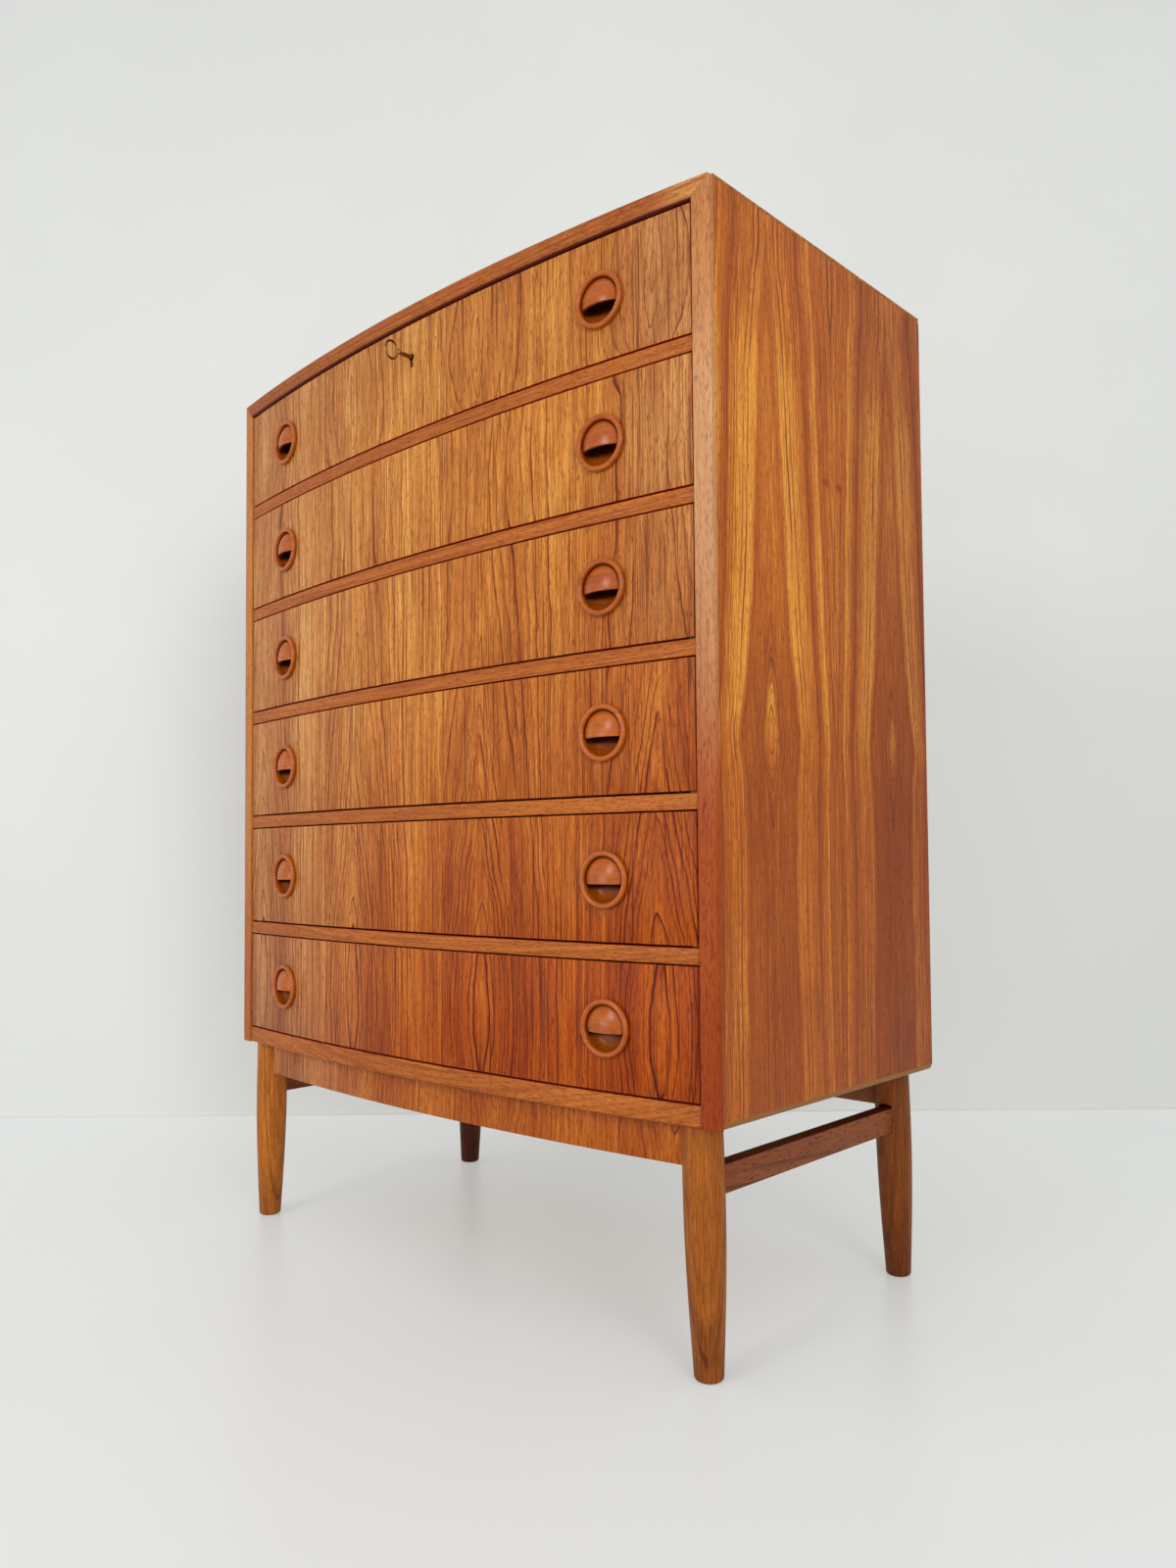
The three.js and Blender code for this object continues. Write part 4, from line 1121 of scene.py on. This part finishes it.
def mitre_top():
    """Height at which the mitre meets the rounded upper outer edge."""
    radius = sizes().top_round
    return TOP_HIGH[2] - radius + radius * math.sqrt(0.5)


def round_top(points):
    """Lowers what stands above the rounded upper outer edge."""
    radius = sizes().top_round
    over = np.maximum(np.abs(points[:, 0]) - (HALF_WIDTH - radius), 0)
    limit = TOP_HIGH[2] - radius + np.sqrt(np.maximum(radius ** 2 - over ** 2, 0))
    return np.column_stack([points[:, 0], points[:, 1], np.minimum(points[:, 2], limit)])


def round_outer(points):
    """Draws in what stands outside the rounded upper outer edge."""
    radius = sizes().top_round
    over = np.maximum(points[:, 2] - (TOP_HIGH[2] - radius), 0)
    limit = HALF_WIDTH - radius + np.sqrt(np.maximum(radius ** 2 - over ** 2, 0))
    return np.column_stack([np.minimum(points[:, 0], limit), points[:, 1], points[:, 2]])


def side_shell():
    """Right side: outlines in the plane of depth and height, carried through its thickness.

    From the inside out the outlines step back for the rear rebate and rise along the mitre. At the outer face
    they draw in over a quarter round at the top and over a bevel at the foot. The rear top corner is rounded.
    """
    s = sizes()
    back_low, back_high = box("back_panel")
    front, rear, foot, top = SIDE_LOW[1], SIDE_HIGH[1], SIDE_LOW[2], SIDE_HIGH[2]
    inner, outer, radius = INSIDE_HALF, HALF_WIDTH, s.top_round
    rebate = back_high[0] + FIT
    bevel = foot + s.side_bevel
    turn = np.linspace(np.pi / 4, np.pi / 2, 6)
    steps = [
        (inner, back_low[1], foot, top - (outer - inner)),
        (rebate, back_low[1], foot, top - (outer - rebate)),
        (rebate, rear, foot, top - (outer - rebate)),
        (outer - 5 * MM, rear, foot, top - 5 * MM),
        (outer - s.side_bevel_depth, rear, foot, top - s.side_bevel_depth),
    ]
    for angle in turn:
        x = outer - radius + radius * math.sin(angle)
        steps.append((x, rear - (x - outer + radius) * 0.2, bevel, top - radius + radius * math.cos(angle)))
    rings = []
    for x, back, low, high in steps:
        low = min(low, foot + s.side_bevel * max(0, (x - outer + s.side_bevel_depth) / s.side_bevel_depth))
        outline = rounded_outline([(front, low, 0), (front, high, 0), (back, high, s.corner), (back, low, 0)])
        rings.append(np.concatenate([np.full((len(outline), 1), x), outline], 1))
    return Shell().add(capped(np.array(rings)), wrap_columns=True)


def edge_piece(shell, name, finish):
    """Solid lipping on one front edge of the carcass."""
    piece(shell, f"{name}_edge", "carcass", "solid_teak", [f"{name}_lipping"], finish)


class CHEST_OT_carcass(bpy.types.Operator):
    """Makes the mitred lippings and gives the panels their veneers"""

    bl_idname = "chest.carcass"
    bl_label = "Carcass"

    def execute(self, context):
        s = sizes()
        for name, sign in SIDES:
            piece(side_shell().sided(sign), f"{name}_side", "carcass", "side_veneer", [f"{name}_side_panel"])
        for name in ("top_panel", "bottom_panel"):
            dress(name, "panel_veneer")
        dress("back_panel", "back_plywood")

        low, high = TOP_LOW[2], TOP_HIGH[2]
        outline = rounded_outline([
            (s.lipping, low, 0), (s.lipping, high, 0), (0, high, s.lipping_edge), (0, low, s.top_lower_edge),
        ])
        reach = INSIDE_HALF + np.minimum(outline[:, 1], mitre_top()) - low
        edge_piece(bowed_bar(outline, reach).moved(round_top), "top", "solid_teak_level")
        bottom_low, bottom_high = box("bottom_lipping")
        setback = bottom_low[1] - FRONT
        outline = rounded_outline([
            (setback + s.lipping, bottom_low[2], 0), (setback + s.lipping, bottom_high[2], 0),
            (setback, bottom_high[2], s.arris), (setback, bottom_low[2], s.lipping_edge),
        ])
        edge_piece(bowed_bar(outline, bottom_high[0]), "bottom", "solid_teak_level")
        inner, outer = INSIDE_HALF, HALF_WIDTH
        rear = SIDE_LOW[1]
        outline = rounded_outline([
            (inner, bow(inner), s.lipping_edge), (outer, bow(outer), s.lipping_edge), (outer, rear, 0),
            (inner, rear, 0),
        ])
        top = np.minimum(low + outline[:, 0] - inner - MITRE_GAP, mitre_top())
        for name, sign in SIDES:
            bar = upright_bar(outline, SIDE_LOW[2], top).moved(round_outer)
            edge_piece(bar.sided(sign), name, "solid_teak_upright")
        return {"FINISHED"}


class CHEST_OT_rails(bpy.types.Operator):
    """Makes the five solid rails between the drawers and finishes their runners"""

    bl_idname = "chest.rails"
    bl_label = "Rails and runners"

    def execute(self, context):
        for number in DRAWERS[:-1]:
            low, high = box(f"rail_{number}")
            plate = bowed_plate(high[0], low[1] - FRONT, high[1], low[2], high[2])
            piece(
                plate, f"divider_{number}", "carcass", "solid_teak", [f"rail_{number}"], "solid_teak_level",
                ease=sizes().arris,
            )
            for side, _ in SIDES:
                dress(f"runner_{number}_{side}", "runner_wood")
        return {"FINISHED"}


def pull_place(number, sign):
    """Middle of a pull on the face, and its own axes: along the face, up, and straight out."""
    low, high = box(f"drawer_{number}_pull_right")
    setback = setback_of(f"drawer_{number}_front")
    x = sign * sizes().pull_spacing / 2
    tilt = math.asin(x / (bow_radius() - setback))
    middle = np.array([x, bow(x, setback), (low[2] + high[2]) / 2])
    along = np.array([math.cos(tilt), math.sin(tilt), 0])
    out = np.array([math.sin(tilt), -math.cos(tilt), 0])
    return middle, np.stack([along, np.array([0, 0, 1.0]), out])


def keyhole(depth):
    """Keyhole prism: a round with a slot below it, carried through the front."""
    s = sizes()
    half = s.keyhole_slot / 2
    start = math.asin(half / s.keyhole_radius)
    angle = np.linspace(-np.pi / 2 + start, 1.5 * np.pi - start, 33)
    outline = np.stack([s.keyhole_radius * np.cos(angle), s.keyhole_radius * np.sin(angle)], -1)
    foot = arc_profile((0, -s.keyhole_drop + half), half, 180, 360, 9)
    outline = np.concatenate([outline, foot]) + (0, key_height())
    return prism(outline, FRONT - 10 * MM, FRONT + depth)


def lock_recess():
    """Recesses behind the top drawer's front: a deep one for the lock case, a wide one for its plate."""
    s = sizes()
    low, high = box("lock_case")
    past = high[1:] + 5 * MM
    half, front = s.lock_width / 2 + SPARE, low[1] - SPARE
    case = board((-half, front, low[2] - SPARE), (half, *past))
    plate = board((low[0] - SPARE, front, high[2] - s.lock_plate - SPARE), (high[0] + SPARE, *past))
    return [case, plate]


class CHEST_OT_fronts(bpy.types.Operator):
    """Makes the six bowed drawer fronts with their bores and the keyhole"""

    bl_idname = "chest.fronts"
    bl_label = "Drawer fronts"

    def execute(self, context):
        s = sizes()
        for number in DRAWERS:
            low, high = box(f"drawer_{number}_front")
            setback = low[1] - FRONT
            cover = bowed_plate(high[0], setback, lambda x: bow(x, setback + s.lap_cover), low[2], high[2])
            inset = 0.02 * MM
            core = bowed_plate(
                high[0] - s.board - FIT, setback + s.lap_cover / 2,
                lambda x: bow(x, setback + s.front_thickness), low[2] + inset, high[2] - inset,
            )
            bores = Shell()
            foot, radius, head = -s.spigot_length - SPARE, s.spigot_radius + SPARE, 10 * MM
            for _, sign in SIDES:
                middle, axes = pull_place(number, sign)
                bore = turned([(0, foot), (radius, foot), (radius, head), (0, head)])
                bores.join(bore.moved(lambda p: middle + p @ axes))
            if number == 1:
                bores.join(keyhole(s.front_thickness))
            body, slot = f"drawer_{number}", "drawer_veneer"
            piece(cover, f"front_{number}", body, slot, [f"{body}_front"], ease=s.arris, cuts=[bores])
            cuts = [bores] + (lock_recess() if number == 1 else [])
            piece(core, f"front_core_{number}", body, slot, finish="drawer_wood_level", cuts=cuts)
        return {"FINISHED"}


def pull_body():
    """Turned body of a pull: ring, groove wall, bowl and spigot, as one closed profile."""
    s = sizes()
    inner = s.pull_radius - s.ring_width
    edge, top = s.ring_edge, s.ring_height
    foot, bevel = 0.1 * MM, 1.3 * MM
    turn = np.linspace(np.pi / 2, 0, 18)[1:-1]
    profile = [(0, -s.spigot_length), (s.spigot_radius, -s.spigot_length), (s.spigot_radius, foot)]
    profile += [(s.pull_radius - bevel, foot), (s.pull_radius - 0.3 * MM, bevel)]
    profile += arc_profile((s.pull_radius - edge, top - edge), edge, 0, 90, 8)
    profile += arc_profile((inner + edge, top - edge), edge, 90, 180, 8)
    profile += [(inner, s.groove_floor)]
    profile += [(inner * math.sin(a) ** 0.7, -s.bowl_depth * math.cos(a) ** 0.8) for a in turn]
    profile += [(0, -s.bowl_depth)]
    return turned(profile)


def lid_shell():
    """Lid: a shallow cap over the bowl, with a rim set back by the groove and a skirt sunk in the ring."""
    s = sizes()
    inner = s.pull_radius - s.ring_width
    rim = inner - s.groove
    rise = s.lid_crown - s.lid_rim
    radius = (rim ** 2 + rise ** 2) / (2 * rise)
    reach = np.linspace(0, rim - 0.5 * MM, 14)
    cap = s.lid_crown - radius + np.sqrt(radius ** 2 - reach ** 2)
    profile = [(0, s.lid_crown - s.lid_thickness)]
    under = [(r, h - s.lid_thickness) for r, h in zip(reach[1:-1], cap[1:-1])]
    skirt = inner + 0.4 * MM
    profile += under + [(skirt, s.groove_floor - s.lid_thickness)]
    profile += [(skirt, s.groove_floor), (rim, s.groove_floor), (rim, s.lid_rim - 0.4 * MM)]
    profile += [(r, h) for r, h in zip(reach[::-1], cap[::-1])]
    return turned(profile)


class CHEST_OT_pulls(bpy.types.Operator):
    """Makes the turned pulls, each a ring with a bowl under a half lid"""

    bl_idname = "chest.pulls"
    bl_label = "Pulls"

    def execute(self, context):
        s = sizes()
        reach = s.pull_radius + 5 * MM
        below = board((-reach, -reach, -20 * MM), (reach, -s.lid_drop, 20 * MM))
        lid = linked("lid", to_mesh(lid_shell(), "lid"))
        carve(lid, below)
        ease_lid(lid.data)
        body = to_mesh(pull_body(), "body")
        for number in DRAWERS:
            for side, sign in SIDES:
                middle, axes = pull_place(number, sign)
                mesh = joined([body, lid.data], f"pull_{number}_{side}")
                paint_hollow_shade(mesh)
                mesh.transform(Matrix.Translation(middle) @ Matrix(axes.T.tolist()).to_4x4())
                finish_piece(
                    linked(f"pull_{number}_{side}", mesh), f"drawer_{number}",
                    [f"drawer_{number}_pull_{side}"], "pull_wood", smooth=40,
                )
        bpy.data.objects.remove(lid)
        return {"FINISHED"}


# Painted shade: how dark the bowl is where open and where covered, and how dark the lid's groove is
BOWL_OPEN, BOWL_COVERED, IN_RING = 0.3, 0.95, 0.75  # how dark the bowl and the lid's groove are


def paint_hollow_shade(mesh):
    """Painted shade: an attribute that grows from 0 to 1 over the bowl towards the part that the lid covers.
    """
    s = sizes()
    places = np.empty(len(mesh.vertices) * 3)
    mesh.vertices.foreach_get("co", places)
    x, y, z = places.reshape(-1, 3).T
    inner = s.pull_radius - s.ring_width
    covered = np.clip((y + 13 * MM) / (7 * MM), 0, 1)
    covered = np.maximum(covered * covered * (3 - 2 * covered) * BOWL_COVERED, BOWL_OPEN)
    reach = np.hypot(x, y)
    within = (reach < inner + 0.1 * MM) & (z < s.groove_floor - 0.1 * MM)
    in_groove = (reach > inner - s.groove - 0.2 * MM) & (reach < inner + 0.5 * MM)
    in_groove &= z < s.groove_floor + 1.5 * MM
    dark = np.where(within, covered, 0.0)
    # The lid's groove gets painted shade too
    dark = np.where(in_groove & (y > -s.lid_drop), IN_RING, dark)
    attribute = mesh.attributes.new(HOLLOW, "FLOAT", "POINT")
    attribute.data.foreach_set("value", dark)


def ease_lid(mesh):
    """Rounds the straight edge of the lid a little."""
    bm = bmesh.new()
    bm.from_mesh(mesh)
    chord = -sizes().lid_drop
    straight = [
        e for e in bm.edges
        if all(abs(v.co.y - chord) < 1e-5 for v in e.verts) and e.calc_face_angle(0) > SHARP
    ]
    bmesh.ops.bevel(
        bm, geom=straight, offset=0.5 * MM, segments=3, profile=0.5, affect="EDGES", clamp_overlap=True,
    )
    bm.to_mesh(mesh)
    bm.free()


def joined(meshes, name):
    """One mesh with copies of several meshes in it."""
    bm = bmesh.new()
    for mesh in meshes:
        bm.from_mesh(mesh)
    result = bpy.data.meshes.new(name)
    bm.to_mesh(result)
    bm.free()
    return result


IN_GROOVE, IN_FRONT = 5 * MM, 6 * MM  # how deep a drawer bottom sits in the side boards and in the front


class CHEST_OT_boxes(bpy.types.Operator):
    """Makes the drawer boxes: two sides, a back and a bottom sheet in its grooves"""

    bl_idname = "chest.boxes"
    bl_label = "Drawer boxes"

    def execute(self, context):
        s = sizes()
        for number in DRAWERS:
            body, slot = f"drawer_{number}", "drawer_wood"
            low, high = box(f"{body}_box")
            setback = setback_of(f"{body}_front")
            start = float(bow(high[0], setback + s.lap_cover)) + FIT
            inside = high[0] - s.board
            for side, sign in SIDES:
                shell = board((inside, start, low[2]), high).sided(sign)
                nodes = [f"{body}_box"] if side == "left" else []
                piece(shell, f"{body}_side_{side}", body, slot, nodes, ease=1.2 * MM)
            back = board((-inside, high[1] - s.board, low[2]), (inside, high[1], high[2]))
            piece(back, f"{body}_back", body, slot, finish="drawer_wood_level", ease=1 * MM)
            bottom = low[2] + s.bottom_lift
            sheet = bowed_plate(
                inside + IN_GROOVE, setback + s.front_thickness - IN_FRONT, high[1] - s.board / 2, bottom,
                bottom + s.bottom_sheet,
            )
            piece(sheet, f"{body}_bottom", body, slot, finish="bottom_plywood", ease=0.3 * MM)
        return {"FINISHED"}


class CHEST_OT_lock(bpy.types.Operator):
    """Makes the key and finishes the lock, its bolt and the strike plate"""

    bl_idname = "chest.lock"
    bl_label = "Lock and key"

    def execute(self, context):
        s = sizes()
        dress("lock_case", "lock_steel")
        dress("lock_bolt", "brass")
        dress("strike_plate", "brass")
        low, high = box("key")
        z = key_height()
        half_high = (high[2] - low[2]) / 2 - s.key_wire
        half_deep = s.key_ring_depth / 2 - s.key_wire
        middle = low[1] + s.key_wire + half_deep
        ring = key_ring(middle, z, half_deep, half_high, s.key_wire)
        start = middle + half_deep
        profile = [
            (0, -0.8), (1.7, -0.8), (2.2, 0.0), (3.1, 0.5), (3.4, 1.2), (3.1, 2.0), (2.3, 2.5), (2.0, 3.2),
            (2.1, 6), (2.4, 11), (2.6, 16), (2.6, 38), (2.2, 38.4), (0, 38.4),
        ]
        shank = turned([(r * MM, h * MM) for r, h in profile], 40)
        shank.moved(lambda p: np.stack([p[:, 0], start + p[:, 2], z - p[:, 1]], -1))
        inside = sum(corner[1] for corner in box("lock_case")) / 2
        bit = board(
            (-s.bit_thickness / 2, inside - s.bit_length / 2, z - s.bit_drop),
            (s.bit_thickness / 2, inside + s.bit_length / 2, z),
        )
        piece(ring.join(shank).join(bit), "key_and_bit", "lock_key", "brass", ["key"])
        return {"FINISHED"}


def key_ring(y, z, half_deep, half_high, wire):
    """Ring of the key: a round section carried round an ellipse in the plane x = 0."""
    turn = np.linspace(0, 2 * np.pi, 72, endpoint=False)[:, None]
    round_ = np.linspace(0, 2 * np.pi, 16, endpoint=False)[None, :]
    path_y, path_z = half_deep * np.cos(turn), half_high * np.sin(turn)
    normal_y, normal_z = np.cos(turn) / half_deep, np.sin(turn) / half_high
    size = np.hypot(normal_y, normal_z)
    grid = np.stack([
        np.broadcast_to(wire * np.sin(round_), (72, 16)),
        y + path_y + wire * np.cos(round_) * normal_y / size,
        z + path_z + wire * np.cos(round_) * normal_z / size,
    ], -1)
    return Shell().add(grid, wrap_rows=True, wrap_columns=True)


LEG_STATIONS = (0.1, 0.38, 0.66)  # heights of ankle, knee and belly, as shares of the leg's height


def leg_shell(side, y):
    """Leg: a smooth profile through its radii, turned, then leaned outwards towards the foot."""
    s = sizes()
    height = SIDE_LOW[2]
    known_z = np.array([s.leg_edge, *(share * height for share in LEG_STATIONS), height])
    known_r = np.array([s.leg_foot, s.leg_ankle, s.leg_knee, s.leg_belly, s.leg_top])
    z = np.linspace(s.leg_edge, height, 40)
    fit = np.polynomial.Polynomial.fit(known_z, known_r, 4)
    foot = arc_profile((s.leg_foot - s.leg_edge, s.leg_edge), s.leg_edge, -90, 0, 7)
    profile = [(0, 0)] + foot[:-1] + [(float(fit(h)), float(h)) for h in z] + [(0, height)]
    axis_x = leg_axis()
    lean = s.leg_splay / height
    body = turned(profile, 80)
    return body.moved(lambda p: np.stack(
        [side * (axis_x + s.leg_splay - lean * p[:, 2]) + p[:, 0], y + p[:, 1], p[:, 2]], -1,
    ))


def leg_axis():
    """Distance of a leg's axis from the middle, at its top."""
    low, high = box("stretcher_right")
    height = SIDE_LOW[2]
    middle = (low[0] + high[0]) / 2
    share = (low[2] + high[2]) / 2 / height
    return middle - sizes().leg_splay * (1 - share)


def housing(side, y_low, y_high):
    """Routed slot for a stretcher's end: the bar's own section with a half round gap on top."""
    s = sizes()
    low, high = box("stretcher_right")
    half = (high[0] - low[0]) / 2 + FIT
    middle = side * (low[0] + high[0]) / 2
    angle = np.linspace(0, np.pi, 17)
    arch = np.stack([half * np.cos(angle), high[2] + s.housing_spare * np.sin(angle)], -1)
    outline = np.concatenate([[(-half, low[2] - FIT), (half, low[2] - FIT)], arch]) + (middle, 0)
    return prism(outline, y_low, y_high)


APRON_SHORT = 8 * MM  # how far the apron's ends stop before the legs' axes


class CHEST_OT_base(bpy.types.Operator):
    """Makes the turned legs, the stretchers, the bowed apron and the rear rail"""

    bl_idname = "chest.base"
    bl_label = "Base"

    def execute(self, context):
        s = sizes()
        bar_low, bar_high = box("stretcher_right")
        for side, sign in SIDES:
            cut = housing(sign, bar_low[1] - FIT, bar_high[1] + FIT)
            for place in ("front", "rear"):
                low, high = box(f"leg_{place}_{side}")
                piece(
                    leg_shell(sign, (low[1] + high[1]) / 2), f"{place}_leg_{side}", "carcass", "leg_wood",
                    [f"leg_{place}_{side}"], cuts=[cut], smooth=50,
                )
            piece(
                board(*box(f"stretcher_{side}"), parts=8), f"side_stretcher_{side}", "carcass",
                "stretcher_wood", [f"stretcher_{side}"], ease=1.5 * MM,
            )
        low, high = box("front_apron")
        setback = low[1] - FRONT
        apron = bowed_plate(
            leg_axis() - APRON_SHORT, setback, lambda x: bow(x, setback + s.apron_thickness), low[2], high[2],
        )
        piece(apron, "bowed_apron", "carcass", "apron_veneer", ["front_apron"], ease=1 * MM)
        dress("rear_rail", "rear_rail_wood")
        return {"FINISHED"}


OPERATORS = (
    CHEST_OT_stage, CHEST_OT_carcass, CHEST_OT_rails, CHEST_OT_fronts, CHEST_OT_pulls, CHEST_OT_boxes,
    CHEST_OT_lock, CHEST_OT_base,
)


class CHEST_PT_panel(bpy.types.Panel):
    """Lists the pieces of the chest"""

    bl_idname = "CHEST_PT_panel"
    bl_label = "Bow Front Chest"
    bl_space_type = "VIEW_3D"
    bl_region_type = "UI"
    bl_category = "Chest"

    def draw(self, context):
        for operator in OPERATORS:
            self.layout.operator(operator.bl_idname)


CLASSES = (ChestSizes, ChestColours, *OPERATORS, CHEST_PT_panel)


def register():
    for item in CLASSES:
        bpy.utils.register_class(item)
    bpy.types.Scene.chest_sizes = PointerProperty(type=ChestSizes)
    bpy.types.Scene.chest_colours = PointerProperty(type=ChestColours)


def unregister():
    del bpy.types.Scene.chest_colours
    del bpy.types.Scene.chest_sizes
    for item in reversed(CLASSES):
        bpy.utils.unregister_class(item)


def main():
    register()
    materials.update(make_materials())
    for operator in OPERATORS:
        group, name = operator.bl_idname.split(".")
        getattr(getattr(bpy.ops, group), name)()


if __name__ == "__main__":
    main()
